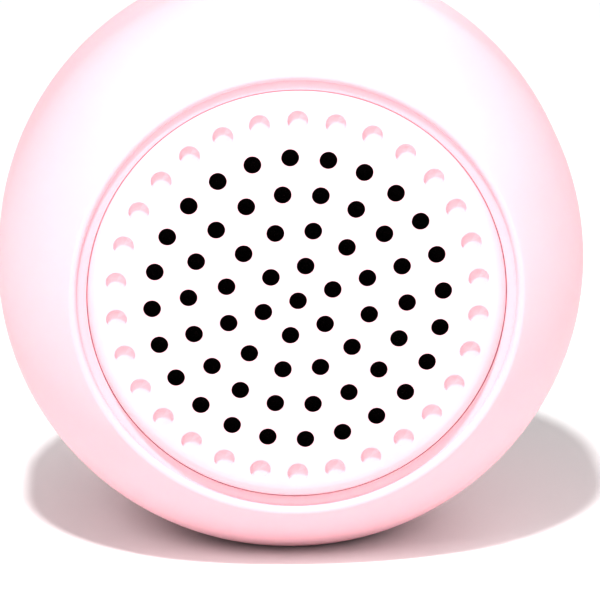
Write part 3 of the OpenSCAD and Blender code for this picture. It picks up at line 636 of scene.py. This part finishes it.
# Its second colour is the cup's painted shade in hollows.
silicone("cup_pink", (0.94, 0.66, 0.71), (0.90, 0.54, 0.61), rough=0.34,
         Subsurface_Weight=0.25, Subsurface_Scale=0.004)
moulded("hub_white", WHITE, rough=0.42)
moulded("frame_white", WHITE, rough=0.5, grain=0.5, depth=0.02)
woven("mesh_black", (0.0008, 0.0004, 0.0004), (0.004, 0.002, 0.002), 0.3, 0.05)
rubber("seal_grey", (0.05, 0.05, 0.054))
rubber("surround_black", (0.012, 0.012, 0.013), rough=0.45)
moulded("basket_black", (0.014, 0.014, 0.016), rough=0.5, grain=0.25,
        depth=0.02, Metallic=0.3)
metal("screw_steel", (0.60, 0.61, 0.63), rough=0.3)
metal("motor_steel", (0.56, 0.57, 0.60), rough=0.34, brushed=(0.15, 1, 0.15))
metal("magnet_grey", (0.10, 0.10, 0.11), rough=0.5, depth=0.02)
cone_paper()
rubber("cap_black", (0.016, 0.016, 0.018), rough=0.4)
former_film()
winding()
woven("spider_cloth", (0.20, 0.11, 0.03), (0.58, 0.38, 0.12), 0.4, 0.08)
moulded("fibre_brown", (0.27, 0.11, 0.04), rough=0.6, grain=0.5, depth=0.03)
metal("tab_brass", (0.78, 0.60, 0.26), rough=0.28)
moulded("plug_white", (0.78, 0.76, 0.70), rough=0.38)
foil_pouch()
foam()
moulded("tray_black", (0.035, 0.035, 0.04), rough=0.5, grain=0.5, depth=0.025)
circuit_board()
shield_can()
chip()
capacitor_sleeve()
rubber("inductor_grey", (0.06, 0.06, 0.065), rough=0.55)
moulded("switch_grey", (0.66, 0.66, 0.68), rough=0.4)
clear_plastic("led_lens", (0.95, 0.92, 0.75), 0.08)
clear_plastic("pipe_clear", (0.92, 0.95, 1.0), 0.05)
metal("mic_metal", (0.62, 0.62, 0.64), rough=0.35)
metal("socket_steel", (0.62, 0.63, 0.65), rough=0.25, brushed=(0.2, 1, 1))
metal("pin_steel", (0.66, 0.67, 0.70), rough=0.2, brushed=(1, 1, 0.2))

BLACK_JACKET = (0.012, 0.012, 0.013)
RED_JACKET = (0.35, 0.012, 0.014)
leads("speaker_lead_jacket", "Z", AXIS_H * MM, RED_JACKET, BLACK_JACKET)
leads("battery_lead_jacket", "X", -6.5 * MM, BLACK_JACKET, RED_JACKET)
LEADS = {"speaker_leads": "speaker_lead_jacket", "battery_leads": "battery_lead_jacket"}


def dress_cad_nodes():
    """Gives every CAD node the finish of its slot in the record, and the leads their own."""
    for part in frame["record"]["subparts"]:
        name = part["node"]
        data = frame["nodes"][name].data
        data.materials.clear()
        data.materials.append(MATERIALS[LEADS.get(name, part["material_slot"])])


dress_cad_nodes()


# ---- Surfaces with holes ----

def ring_edges(ring):
    """The edges round a ring of point numbers."""
    return [(a, ring[(i + 1) % len(ring)]) for i, a in enumerate(ring)]


class Layout(Points):
    """A 2D layout of points and faces, which a surface function lifts into space."""

    def fill(self, chosen, edges, keep):
        """Triangles over the chosen points, where keep says so of their centres."""
        order = {n: i for i, n in enumerate(chosen)}
        local = [(order[a], order[b]) for a, b in edges]
        made = triangles([self.points[n] for n in chosen], local, keep)
        self.faces.extend(tuple(chosen[i] for i in face) for face in made)

    def lift(self, shell, surface):
        """Adds the layout to a shell. surface turns a point of the layout into a place."""
        used = sorted({n for face in self.faces for n in face})
        numbers = dict(zip(used, shell.add([surface(*self.points[n]) for n in used])))
        shell.faces.extend(tuple(numbers[n] for n in face) for face in self.faces)
        return numbers


GUARD = 0.28    # distance from a hole's line to the ring of points that guards it


def plate(outline, holes, spacing):
    """A flat region with holes, filled evenly. Returns the layout, its outline and hole rings."""
    made = Layout()
    outer = made.add(outline)
    rings = [made.add(line) for line in holes]
    lo, hi = np.min(outline, axis=0), np.max(outline, axis=0)
    row = spacing * 0.87
    rows = int((hi[1] - lo[1]) / row) + 1
    fill = [(lo[0] + spacing * (i + 0.5 * (j % 2)), lo[1] + row * j)
            for j in range(rows) for i in range(int((hi[0] - lo[0]) / spacing) + 1)]
    fill = [p for line in holes for p in grown(line, GUARD)] + fill
    ok = (inside(fill, outline) & far_from(fill, outline, spacing * 0.45)
          & clear_of(fill, holes, GUARD * 0.9))
    inner = made.add([p for p, good in zip(fill, ok) if good])

    def keep(centres):
        return inside(centres, outline) & clear_of(centres, holes)

    edges = [e for ring in [outer] + rings for e in ring_edges(ring)]
    made.fill(outer + inner + [n for ring in rings for n in ring], edges, keep)
    return made, outer, rings


def holed_grid(us, vs, holes, reach):
    """A grid of quads with triangles round its holes. Returns the layout, hole rings and rows."""
    made = Layout()
    columns = len(us)
    grid = made.add([(u, v) for v in vs for u in us])
    rings = [made.add(line) for line in holes]
    near = set()
    for line in holes:
        lo, hi = np.min(line, axis=0) - reach, np.max(line, axis=0) + reach
        across = range(np.searchsorted(us, lo[0]) - 1, np.searchsorted(us, hi[0]))
        down = range(np.searchsorted(vs, lo[1]) - 1, np.searchsorted(vs, hi[1]))
        near |= {(i, j) for i in across for j in down}
    corners = {}
    borders = {}
    for j in range(len(vs) - 1):
        for i in range(columns - 1):
            cell = [grid[(j + b) * columns + i + a] for a, b in ((0, 0), (1, 0), (1, 1), (0, 1))]
            if (i, j) not in near:
                made.faces.append(tuple(cell))
                continue
            for edge in ring_edges(cell):
                key = tuple(sorted(edge))
                borders[key] = borders.get(key, 0) + 1
            corners.update(dict.fromkeys(cell))
    borders = [edge for edge, times in borders.items() if times == 1]
    on_border = {n for edge in borders for n in edge}
    free = [n for n in corners if n not in on_border]
    ok = clear_of([made.points[n] for n in free], holes, GUARD * 2.2)
    chosen = sorted(on_border) + [n for n, good in zip(free, ok) if good]
    guards = [p for line in holes for p in grown(line, GUARD)]
    clear = clear_of(guards, holes, GUARD * 0.8)
    chosen += made.add([p for p, good in zip(guards, clear) if good])
    chosen += [n for ring in rings for n in ring]

    def keep(centres):
        i = np.searchsorted(us, centres[:, 0]) - 1
        j = np.searchsorted(vs, centres[:, 1]) - 1
        return clear_of(centres, holes) & np.array([c in near for c in zip(i.tolist(), j.tolist())])

    made.fill(chosen, borders + [e for ring in rings for e in ring_edges(ring)], keep)
    return made, rings, grid[:columns], grid[-columns:]


def fillet(radius, steps=4):
    """(distance outwards, drop) of each ring round a rounded edge, from the surface down."""
    turns = [math.pi / 2 * i / steps for i in range(steps + 1)]
    return [(radius * (1 - math.sin(a)), radius * (1 - math.cos(a))) for a in turns]


def engraved(shell, line, depth, edge, lowered):
    """Cuts a line's region into a surface. lowered turns a 2D point and a drop into a place."""
    rings = [[lowered(*p, drop) for p in grown(line, out)] for out, drop in fillet(edge, 3)]
    rings.append([lowered(*p, depth) for p in line])
    numbers = shell.strip(rings)
    floor, outer, _ = plate(line, [], 0.6)
    lifted = floor.lift(shell, lambda a, b: lowered(a, b, depth))
    shell.join(numbers[-1], [lifted[n] for n in outer])


# ---- Front disc ----

DISC_SIDES = 192
FLAT_R = DISC_R - DISC_EDGE
FACE_R = FLAT_R + 0.9
HOLE_EDGE = 0.1
DIMPLE_EDGE = 0.14
HOLE_SIDES = 32
DIMPLE_SIDES = 36
HOOK_COUNT = 6
HOOK_HALF = 3.3
HOOK_PROFILE = [(27.2, 3), (28.3, 3), (28.3, 7.1), (29.1, 7.2), (29.1, 7.4), (28.3, 7.9),
                (27.2, 7.9)]


def ring_of_holes(number):
    """Centres of one ring of the hole pattern."""
    count = max(1, 6 * number)
    angles = [FIRST_ANGLE + 2 * math.pi * i / count for i in range(count)]
    return [(PITCH * number * math.cos(a), PITCH * number * math.sin(a)) for a in angles]


def face_s(r):
    """How far the disc's crowned face, or its rounded edge, lies behind its centre at r."""
    if r < FLAT_R:
        return crown(r)
    share = (r - FLAT_R) / DISC_EDGE
    return crown(FLAT_R) + DISC_EDGE * (1 - math.sqrt(1 - share * share))


def on_face(x, h, drop=0.0):
    """A place on the disc's face, or that far behind it."""
    return place(x, h, face_s(math.hypot(x, h)) + drop)


def sound_hole(shell, x, h):
    """The wall of a sound hole, from its rounded front edge to its wider rear part."""
    start = crown(math.hypot(x, h))
    rings = [[on_face(*p, drop) for p in circle_line(x, h, HOLE_R + out, HOLE_SIDES)]
             for out, drop in fillet(HOLE_EDGE, 3)]
    for r in (HOLE_R, RELIEF_R):
        rings.append([place(*p, start + HOLE_LEN) for p in circle_line(x, h, r, HOLE_SIDES)])
    rings.append([on_face(*p, DISC_T) for p in circle_line(x, h, RELIEF_R, HOLE_SIDES)])
    shell.strip(rings)


def dimple(shell, x, h):
    """A flat-bottomed blind hole with a crisp edge."""
    start = crown(math.hypot(x, h))
    rings = [[on_face(*p, drop) for p in circle_line(x, h, DIMPLE_R + out, DIMPLE_SIDES)]
             for out, drop in fillet(DIMPLE_EDGE, 4)]
    floor = [(DIMPLE_R, DIMPLE_DEPTH - 0.1), (DIMPLE_R - 0.03, DIMPLE_DEPTH - 0.03),
             (DIMPLE_R - 0.1, DIMPLE_DEPTH), (DIMPLE_R * 0.5, DIMPLE_DEPTH)]
    for r, drop in floor:
        rings.append([place(*p, start + drop) for p in circle_line(x, h, r, DIMPLE_SIDES)])
    numbers = shell.strip(rings)
    shell.fan(numbers[-1])


def snap_hook(shell, angle):
    """One snap hook behind the rim, with a sloping barb."""
    ends = []
    for side in (-HOOK_HALF, HOOK_HALF):
        ring = []
        for r, s in HOOK_PROFILE:
            x = r * math.cos(angle) - side * math.sin(angle)
            h = r * math.sin(angle) + side * math.cos(angle)
            ring.append(place(x, h, s))
        ends.append(shell.add(ring))
    shell.join(*ends)
    shell.faces.extend(tuple(ring) for ring in ends)


def front_disc():
    shell = Shell()
    centres = [c for number in range(HOLE_RINGS + 1) for c in ring_of_holes(number)]
    dimples = ring_of_holes(HOLE_RINGS + 1)
    lines = [circle_line(*c, HOLE_R + HOLE_EDGE, HOLE_SIDES) for c in centres]
    lines += [circle_line(*c, DIMPLE_R + DIMPLE_EDGE, DIMPLE_SIDES) for c in dimples]
    face, _, _ = plate(circle_line(0, 0, FACE_R, DISC_SIDES), lines, 1.0)
    face.lift(shell, on_face)
    back_lines = [circle_line(*c, RELIEF_R, HOLE_SIDES) for c in centres]
    back, _, _ = plate(circle_line(0, 0, SHELF_R, DISC_SIDES), back_lines, 1.2)
    back.lift(shell, lambda x, h: on_face(x, h, DISC_T))
    for c in centres:
        sound_hole(shell, *c)
    for c in dimples:
        dimple(shell, *c)
    edge_steps = 12
    start = math.asin((FACE_R - FLAT_R) / DISC_EDGE)
    turns = [start + (math.pi / 2 - start) * i / edge_steps for i in range(edge_steps + 1)]
    rim = [(FLAT_R + DISC_EDGE * math.sin(a), crown(FLAT_R) + DISC_EDGE * (1 - math.cos(a)))
           for a in turns]
    rim += [(DISC_R, LEDGE_S - 0.15), (DISC_R - 0.15, LEDGE_S), (RECESS_R, LEDGE_S),
            (RECESS_R, RECESS_S), (SHELF_R, RECESS_S), (SHELF_R, DISC_T + crown(SHELF_R))]
    shell.strip([[place(*p, s) for p in circle_line(0, 0, r, DISC_SIDES)] for r, s in rim])
    for i in range(HOOK_COUNT):
        snap_hook(shell, 2 * math.pi * i / HOOK_COUNT)
    return shell.piece("front_disc", "casing", "disc_pink", ["grille_disc"])


# ---- Silicone sleeve ----

COLUMNS = 289
ROW = 1.0
INNER_ROW = 1.6
TURN_LENGTH = 36        # what one radian of the profile's curves counts for in the layout
GROOVE_EDGE = 0.08
REAR_EDGE = 0.4


def along_profile(v, depth):
    """(r, s) at distance v along the ball's profile, counted from the start of its band."""
    if v < 0:
        t = -v / TURN_LENGTH
        return (BALL_R - depth) * math.cos(t), BAND_FRONT - (FRONT_LEN - depth) * math.sin(t)
    if v < BAND_LEN:
        return BALL_R - depth, BAND_FRONT + v
    t = (v - BAND_LEN) / TURN_LENGTH
    return (BALL_R - depth) * math.cos(t), BAND_REAR + (REAR_LEN - depth) * math.sin(t)


def profile_place(s, depth):
    """Distance along the ball's profile at s."""
    if s < BAND_FRONT:
        return -TURN_LENGTH * math.asin((BAND_FRONT - s) / (FRONT_LEN - depth))
    if s < BAND_REAR:
        return s - BAND_FRONT
    return BAND_LEN + TURN_LENGTH * math.asin((s - BAND_REAR) / (REAR_LEN - depth))


def settled(x, h, s, floor):
    """A place on the sleeve, held above the small flat that the speaker stands on."""
    softness = 0.08
    z = AXIS_H + h - floor
    lifted = (z + math.sqrt(z * z + 4 * softness * softness)) / 2
    return place(x, lifted + floor - AXIS_H, s)


class Opening:
    """A hole through the sleeve, straight up or straight to the right."""

    def __init__(self, line, upward, edge):
        self.line = line
        self.upward = upward
        self.edge = edge

    def spread(self, amount, depth):
        """The line in the sleeve's layout, moved outwards by amount."""
        made = []
        for a, s in grown(self.line, amount):
            share = a / ball_r(s, depth)
            angle = math.asin(share) if self.upward else math.acos(share)
            made.append((BALL_R * angle, profile_place(s, depth)))
        return made if self.upward else made[::-1]

    def ring(self, amount, depth, drop=0.0):
        """The line in space, moved outwards by amount and inwards by drop."""
        made = []
        for a, s in grown(self.line, amount):
            reach = ball_top(a, s, depth) - drop
            made.append(place(a, reach, s) if self.upward else place(reach, a, s))
        return made


def openings():
    """Every hole through the sleeve: three keys, light pipe, microphone and charging port."""
    found = [Opening(circle_line(0, KEY_S, PLAY_R + KEY_CLEARANCE, 72), True, 0.3)]
    for side in (-1, 1):
        line = circle_line(side * KEY_GAP, KEY_S, VOLUME_R + KEY_CLEARANCE, 64)
        found.append(Opening(line, True, 0.3))
    found.append(Opening(circle_line(PIPE_X, KEY_S, PIPE_R, 24), True, 0.1))
    found.append(Opening(circle_line(-PIPE_X, KEY_S, MIC_R, 24), True, 0.15))
    half = FLAP_H / 2 + FLAP_GAP
    port = rounded_box_line(-half, FLAP_FRONT - FLAP_GAP, half, PORT_BACK, 1.3)
    found.append(Opening(port, False, 0.25))
    return found


def sleeve_layer(shell, depth, first, last, row, holes, floor):
    """One face of the sleeve. Returns the point numbers of its front and rear edges."""
    us = np.linspace(-math.pi, math.pi, COLUMNS) * BALL_R
    vs = np.linspace(first, last, int((last - first) / row) + 1)
    lines = [hole.spread(hole.edge if depth == 0 else 0, depth) for hole in holes]
    layout, _, front, rear = holed_grid(us, vs, lines, 1.1)

    def surface(u, v):
        r, s = along_profile(v, depth)
        return settled(r * math.sin(u / BALL_R), r * math.cos(u / BALL_R), s, floor)

    numbers = layout.lift(shell, surface)
    return [[numbers[n] for n in row_numbers[:-1]] for row_numbers in (front, rear)]


def lip_rings(count):
    """Points round the sleeve's front lip, from the ball's curve to the opening's wall."""
    normal = math.atan2(math.sin(LIP_ANGLE) / FRONT_LEN, math.cos(LIP_ANGLE) / BALL_R)
    start_r = BALL_R * math.cos(LIP_ANGLE)
    start_s = BAND_FRONT - FRONT_LEN * math.sin(LIP_ANGLE)
    middle_r = start_r - LIP_R * math.cos(normal)
    middle_s = start_s + LIP_R * math.sin(normal)
    made = []
    for i in range(1, count + 1):
        a = normal + (math.pi - normal) * i / count
        made.append((middle_r + LIP_R * math.cos(a), middle_s - LIP_R * math.sin(a)))
    wall_r = made[-1][0]
    edge, eased = GROOVE_EDGE, 0.3 * GROOVE_EDGE
    made += [(wall_r, GROOVE_S - edge), (wall_r - eased, GROOVE_S - eased),
             (wall_r - edge, GROOVE_S), (GROOVE_R + edge, GROOVE_S),
             (GROOVE_R + eased, GROOVE_S + eased), (GROOVE_R, GROOVE_S + edge),
             (GROOVE_R, LEDGE_S)]
    return made


def sleeve_ring(r, s):
    """A ring about the axis whose points match the sleeve's columns."""
    turns = [math.pi * (2 * i / (COLUMNS - 1) - 1) for i in range(COLUMNS - 1)]
    return [place(r * math.sin(a), r * math.cos(a), s) for a in turns]


def silicone_sleeve():
    shell = Shell()
    holes = openings()
    outer_last = BAND_LEN + TURN_LENGTH * math.acos((REAR_HOLE_R + REAR_EDGE) / BALL_R)
    inner_first = profile_place(LEDGE_S, SLEEVE_T)
    inner_last = BAND_LEN + TURN_LENGTH * math.acos(REAR_HOLE_R / (BALL_R - SLEEVE_T))
    front, rear = sleeve_layer(shell, 0, -TURN_LENGTH * LIP_ANGLE, outer_last, ROW, holes, 0)
    inner_front, inner_rear = sleeve_layer(
        shell, SLEEVE_T, inner_first, inner_last, INNER_ROW, holes, SLEEVE_FLOOR)
    lip = shell.strip([sleeve_ring(r, s) for r, s in lip_rings(14)])
    shell.join(front, lip[0])
    shell.join(lip[-1], inner_front)
    r, s = along_profile(outer_last, 0)
    rear_rings = [sleeve_ring(r - REAR_EDGE * math.sin(a), s - REAR_EDGE * (1 - math.cos(a)) * 0.9)
                  for a in [math.pi / 2 * i / 4 for i in range(1, 5)]]
    rear_lip = shell.strip(rear_rings)
    shell.join(rear, rear_lip[0])
    shell.join(rear_lip[-1], inner_rear)
    for hole in holes:
        rings = [hole.ring(out, 0, drop) for out, drop in fillet(hole.edge)]
        rings.append(hole.ring(0, SLEEVE_T))
        shell.strip(rings)
    return shell.piece("sleeve", "casing", "sleeve_pink", ["silicone_sleeve"], sharp=50)


# ---- Keys ----

SYMBOL_DEPTH = 0.3
SYMBOL_EDGE = 0.07


def rounded_corners(corners, radius):
    """A closed line through the corners, anticlockwise, each rounded."""
    return rounded_profile([(*c, radius) for c in corners], steps=4)


def plus_line(x, arm, half):
    """A plus sign round x in the row of keys."""
    quarter = [(arm, -half), (arm, half), (half, half)]
    corners = []
    for turn in range(4):
        c, s = round(math.cos(math.pi / 2 * turn)), round(math.sin(math.pi / 2 * turn))
        corners += [(x + a * c - b * s, KEY_S + a * s + b * c) for a, b in quarter]
    return rounded_corners(corners, 0.18)


def bar_line(x0, s0, x1, s1):
    return rounded_box_line(x0, s0, x1, s1, 0.28, per_corner=4, per_side=4)


def key_cap(name, body, r, x, symbols, node):
    """One key: a domed cap with engraved signs, and the stem that reaches its switch."""
    shell = Shell()
    edge = 0.55
    sides = 72
    outline = circle_line(x, KEY_S, r, sides)

    def top(a, s, drop=0.0):
        dish = 0.12 * max(0.0, 1 - ((a - x) ** 2 + (s - KEY_S) ** 2) / (r * r))
        return place(a, ball_top(a, s, -KEY_PROUD) - dish - drop, s)

    def underside(a, s):
        return place(a, ball_top(a, s, KEY_UNDER), s)

    lines = [grown(line, SYMBOL_EDGE) for line in symbols]
    face, outer, _ = plate(grown(outline, -edge), lines, 0.5)
    numbers = face.lift(shell, top)
    rings = [[top(*p, drop) for p in grown(outline, -out)] for out, drop in fillet(edge, 6)]
    rings += [[underside(*p) for p in outline],
              [underside(*p) for p in circle_line(x, KEY_S, STEM_R, sides)],
              [place(a, STEM_END, s) for a, s in circle_line(x, KEY_S, STEM_R, sides)]]
    wall = shell.strip(rings)
    shell.join([numbers[n] for n in outer], wall[0])
    shell.fan(wall[-1])
    for line in symbols:
        engraved(shell, line, SYMBOL_DEPTH, SYMBOL_EDGE, top)
    return shell.piece(name, body, "key_pink", [node])


def keys():
    triangle = rounded_corners([(-2.0, KEY_S - 1.5), (0.35, KEY_S), (-2.0, KEY_S + 1.5)], 0.2)
    pause = [bar_line(x, KEY_S - 1.4, x + 0.62, KEY_S + 1.4) for x in (0.75, 1.85)]
    minus = bar_line(-KEY_GAP - 1.6, KEY_S - 0.33, -KEY_GAP + 1.6, KEY_S + 0.33)
    key_cap("play_button", "play", PLAY_R, 0, [triangle] + pause, "play_key")
    key_cap("volume_up_button", "volume_up", VOLUME_R, KEY_GAP, [plus_line(KEY_GAP, 1.6, 0.33)],
            "volume_up_key")
    key_cap("volume_down_button", "volume_down", VOLUME_R, -KEY_GAP, [minus], "volume_down_key")


# ---- Charging flap ----

FLAP_EDGE = 0.3
FLAP_CORNER = 1.1
NAIL_HALF = 2.6
NAIL_DEPTH = 0.5
NAIL_EDGE = 0.12


def tube(shell, x, s, h_from, h_to, r_out, r_in, sides=48):
    """An upright tube with slightly eased ends."""
    ease = 0.12
    section = [(r_in, h_from), (r_out - ease, h_from), (r_out, h_from + ease),
               (r_out, h_to - ease), (r_out - ease, h_to), (r_in, h_to)]
    rings = [shell.add([place(a, h, b) for a, b in circle_line(x, s, r, sides)])
             for r, h in section]
    for a, b in zip(rings, rings[1:] + rings[:1]):
        shell.join(a, b)


def charging_flap():
    """The flap over the charging port: flush with the ball, with a nail groove and a knuckle."""
    shell = Shell()
    half = FLAP_H / 2
    outline = rounded_box_line(-half, FLAP_FRONT, half, FLAP_BACK, FLAP_CORNER)

    def outer(h, s, drop=0.0):
        return place(ball_top(h, s) - drop, h, s)

    groove = rounded_box_line(-NAIL_HALF, FLAP_FRONT + 0.85, NAIL_HALF, FLAP_FRONT + 1.75,
                              0.44, 5, 8)
    face, ring, _ = plate(grown(outline, -FLAP_EDGE), [grown(groove, NAIL_EDGE)], 0.6)
    numbers = face.lift(shell, outer)
    rings = [[outer(*p, drop) for p in grown(outline, -out)] for out, drop in fillet(FLAP_EDGE)]
    rings.append([outer(*p, FLAP_T) for p in outline])
    wall = shell.strip(rings)
    shell.join([numbers[n] for n in ring], wall[0])
    back, back_ring, _ = plate(outline, [], 1.2)
    lifted = back.lift(shell, lambda h, s: outer(h, s, FLAP_T))
    shell.join(wall[-1], [lifted[n] for n in back_ring])
    engraved(shell, groove, NAIL_DEPTH, NAIL_EDGE, outer)
    neck = KNUCKLE_H / 2
    corners = [(-neck, 0.15), (neck, 0.15), (neck, FLAP_T + 0.25), (-neck, FLAP_T + 0.25)]
    start, end, steps = FLAP_BACK - 0.8, PIN_S - 0.3, 6
    neck_rings = [[outer(h, start + (end - start) * i / steps, drop) for h, drop in corners]
                  for i in range(steps + 1)]
    ends = shell.strip(neck_rings)
    shell.faces.extend([tuple(ends[0]), tuple(ends[-1])])
    tube(shell, PIN_X, PIN_S, -neck, neck, KNUCKLE_R, PIN_BORE)
    return shell.piece("charging_flap", "flap", "key_pink", ["port_flap"])


# ---- Suction cup ----

CUP_SIDES = 192
RIM_ROUND = 0.35
TAB_HALF = 4.5
TAB_REACH = 3.5         # from the cup's edge to the middle of the tab's round end
TAB_ROOT = 2            # how far inside the cup's edge the tab starts
TAB_T = 1.2
TAB_EDGE = 0.25


def cup_front(r):
    rise = ((r - CUP_NECK_R) / (CUP_R - CUP_NECK_R)) ** 1.3
    return STUD_NECK_S + (CUP_RIM_S - 1 - STUD_NECK_S) * rise


def cup_back(r):
    return CUP_RIM_S - CUP_DISH * (1 - (r / (CUP_R - CUP_LIP)) ** 2)


def cup_profile():
    """The cup's (r, s) outline: dish, rim, flared back, neck, and the socket for the stud."""
    gap = 0.05
    steps = 40
    shares = [i / steps for i in range(steps + 1)]
    dish_r = CUP_R - CUP_LIP
    flare_r = CUP_R - 1.2
    profile = [(dish_r * share, cup_back(dish_r * share)) for share in shares]
    profile += [(dish_r + 0.3, CUP_RIM_S)]
    profile += rounded_profile([(dish_r + 0.4, CUP_RIM_S, 0), (CUP_R, CUP_RIM_S, RIM_ROUND),
                                (CUP_R, CUP_RIM_S - 1, RIM_ROUND), (flare_r, cup_front(flare_r), 0)])
    for share in shares[1:]:
        r = flare_r + (CUP_NECK_R - flare_r) * share
        profile.append((r, cup_front(r)))
    return profile + [
        (CUP_NECK_R, STUD_NECK_S - 1.5), (CUP_NECK_R, HUB_BACK + gap + 0.3),
        (CUP_NECK_R - 0.3, HUB_BACK + gap), (STUD_R + gap, HUB_BACK + gap),
        (STUD_R + gap, STUD_NECK_S - 2 * gap), (STUD_HEAD_R + gap, STUD_NECK_S - 2 * gap),
        (STUD_HEAD_R + gap, STUD_END_S + gap), (0, STUD_END_S + gap)]


def pull_tab():
    """The tab at the cup's rim, with a round end and eased edges."""
    shell = Shell()
    top = CUP_R + TAB_REACH
    arc = [math.pi * i / 24 for i in range(1, 24)]
    outline = [(TAB_HALF, CUP_R - TAB_ROOT), (TAB_HALF, top)]
    outline += [(TAB_HALF * math.cos(a), top + TAB_HALF * math.sin(a)) for a in arc]
    outline += [(-TAB_HALF, top), (-TAB_HALF, CUP_R - TAB_ROOT)]
    edge = fillet(TAB_EDGE)
    rings = [[place(*p, CUP_RIM_S - 0.02 - drop) for p in grown(outline, -out)]
             for out, drop in edge]
    rings += [[place(*p, CUP_RIM_S - TAB_T + drop) for p in grown(outline, -out)]
              for out, drop in reversed(edge)]
    ends = shell.strip(rings)
    shell.faces.extend([tuple(ends[0]), tuple(ends[-1])])
    return shell.piece("pull_tab", "cup", "cup_pink")


def suction_cup():
    """The cup turned about the axis, and its pull tab, joined into one piece."""
    shell = Shell()
    turns = [2 * math.pi * i / CUP_SIDES for i in range(CUP_SIDES)]
    shell.strip([[on_axis(r, a, s) for a in turns] for r, s in cup_profile()])
    cup = shell.piece("suction_cup_piece", "cup", "cup_pink", ["suction_cup"], sharp=55)
    tab = pull_tab()
    union = cup.modifiers.new("union", "BOOLEAN")
    union.operation = "UNION"
    union.solver = "EXACT"
    union.object = tab
    whole = bpy.data.meshes.new_from_object(cup.evaluated_get(bpy.context.evaluated_depsgraph_get()))
    cup.modifiers.clear()
    cup.data = whole
    cup.data.shade_smooth()
    cup.data.set_sharp_from_angle(angle=math.radians(50))
    bpy.data.objects.remove(tab)


front_disc()
silicone_sleeve()
keys()
charging_flap()
suction_cup()


# ---- Eased edges on the CAD pieces that show ----

EASED_WIDTH = 0.12


def ease_edges(node, width):
    """Rounds a CAD node's sharp edges with modifiers, which leave its own mesh as it is."""
    owner = frame["nodes"][node]
    weld = owner.modifiers.new("weld", "WELD")
    weld.merge_threshold = 1e-6
    bevel = owner.modifiers.new("bevel", "BEVEL")
    bevel.width = width * MM
    bevel.segments = 2
    bevel.limit_method = "ANGLE"
    bevel.angle_limit = math.radians(40)
    owner.modifiers.new("normals", "WEIGHTED_NORMAL")


# ---- Floor, lights and camera ----

FLOOR_HALF = 3.0
WORLD_STRENGTH = 0.5
# name, direction from the ball's centre, distance and width in metres, power in watts
LIGHTS = [
    ("key", (-0.1, -0.47, 0.875), 1.2, 0.085, 10.5),
    ("top_left_fill", (-0.5, -0.6, 0.65), 1.4, 0.6, 5),
    ("right_fill", (0.8, -0.5, 0.6), 1.5, 0.9, 6),
    ("front_fill", (-0.3, -0.95, 0.2), 1.6, 0.8, 2.2),
    ("back_fill", (0.3, 0.8, 0.6), 1.5, 0.9, 3.5),
]
DISPLAY_GAMMA = 0.7     # below 1 darkens the middle tones and keeps white
CAMERA_SIDE = (-0.0444, -0.9633, 0.2647)    # from the disc's centre towards the camera
CAMERA_AWAY = 0.5725
CAMERA_SETTINGS = {"lens": 251, "sensor_width": 36, "shift_x": 0.0031, "shift_y": 0.0021,
                   "clip_start": 0.05, "clip_end": 20}


def floor():
    """A plain pale floor, large enough to fill the view."""
    mesh = bpy.data.meshes.new("floor")
    corners = [(x * FLOOR_HALF, y * FLOOR_HALF, 0) for x, y in ((-1, -1), (1, -1), (1, 1), (-1, 1))]
    mesh.from_pydata(corners, [], [(0, 1, 2, 3)])
    made = shown("floor", mesh)
    paper = Finish("floor_paper", Specular_IOR_Level=0.2)
    paper.colour(paper.blended(paper.noise(60, detail=3), (0.85, 0.865, 0.86), (0.87, 0.885, 0.88)))
    paper.rough(paper.noise(4, detail=3), 0.7, 0.85)
    mesh.materials.append(paper.material)


def aimed(name, data, centre, away, distance):
    """An object at that distance from a centre, in a direction, that faces the centre."""
    made = shown(name, data)
    direction = Vector(away).normalized()
    made.location = centre + direction * distance
    made.rotation_euler = direction.to_track_quat("Z", "Y").to_euler()
    return made


def soft_light(name, away, distance, size, power):
    """A round area light that faces the ball's centre."""
    data = bpy.data.lights.new(name, "AREA")
    data.shape = "DISK"
    data.size = size
    data.energy = power
    aimed(name, data, place(0, 0, ORIGIN_S), away, distance)


def lighting():
    """White light from all round and five soft white lights."""
    world = bpy.data.worlds.new("studio")
    world.use_nodes = True
    background = world.node_tree.nodes["Background"]
    background.inputs["Color"].default_value = (1, 1, 1, 1)
    background.inputs["Strength"].default_value = WORLD_STRENGTH
    bpy.context.scene.world = world
    for light in LIGHTS:
        soft_light(*light)
    bpy.context.scene.view_settings.view_transform = "Standard"
    bpy.context.scene.view_settings.gamma = DISPLAY_GAMMA


def camera():
    """The camera in front of the disc, a little above and to the left of the axis."""
    data = bpy.data.cameras.new("camera")
    for setting, value in CAMERA_SETTINGS.items():
        setattr(data, setting, value)
    bpy.context.scene.camera = aimed("camera", data, place(0, 0, 0), CAMERA_SIDE, CAMERA_AWAY)


floor()
lighting()
camera()

for showing in ("cup_hub", "rear_frame", "charge_socket", "socket_gasket", "flap_seal"):
    ease_edges(showing, EASED_WIDTH)
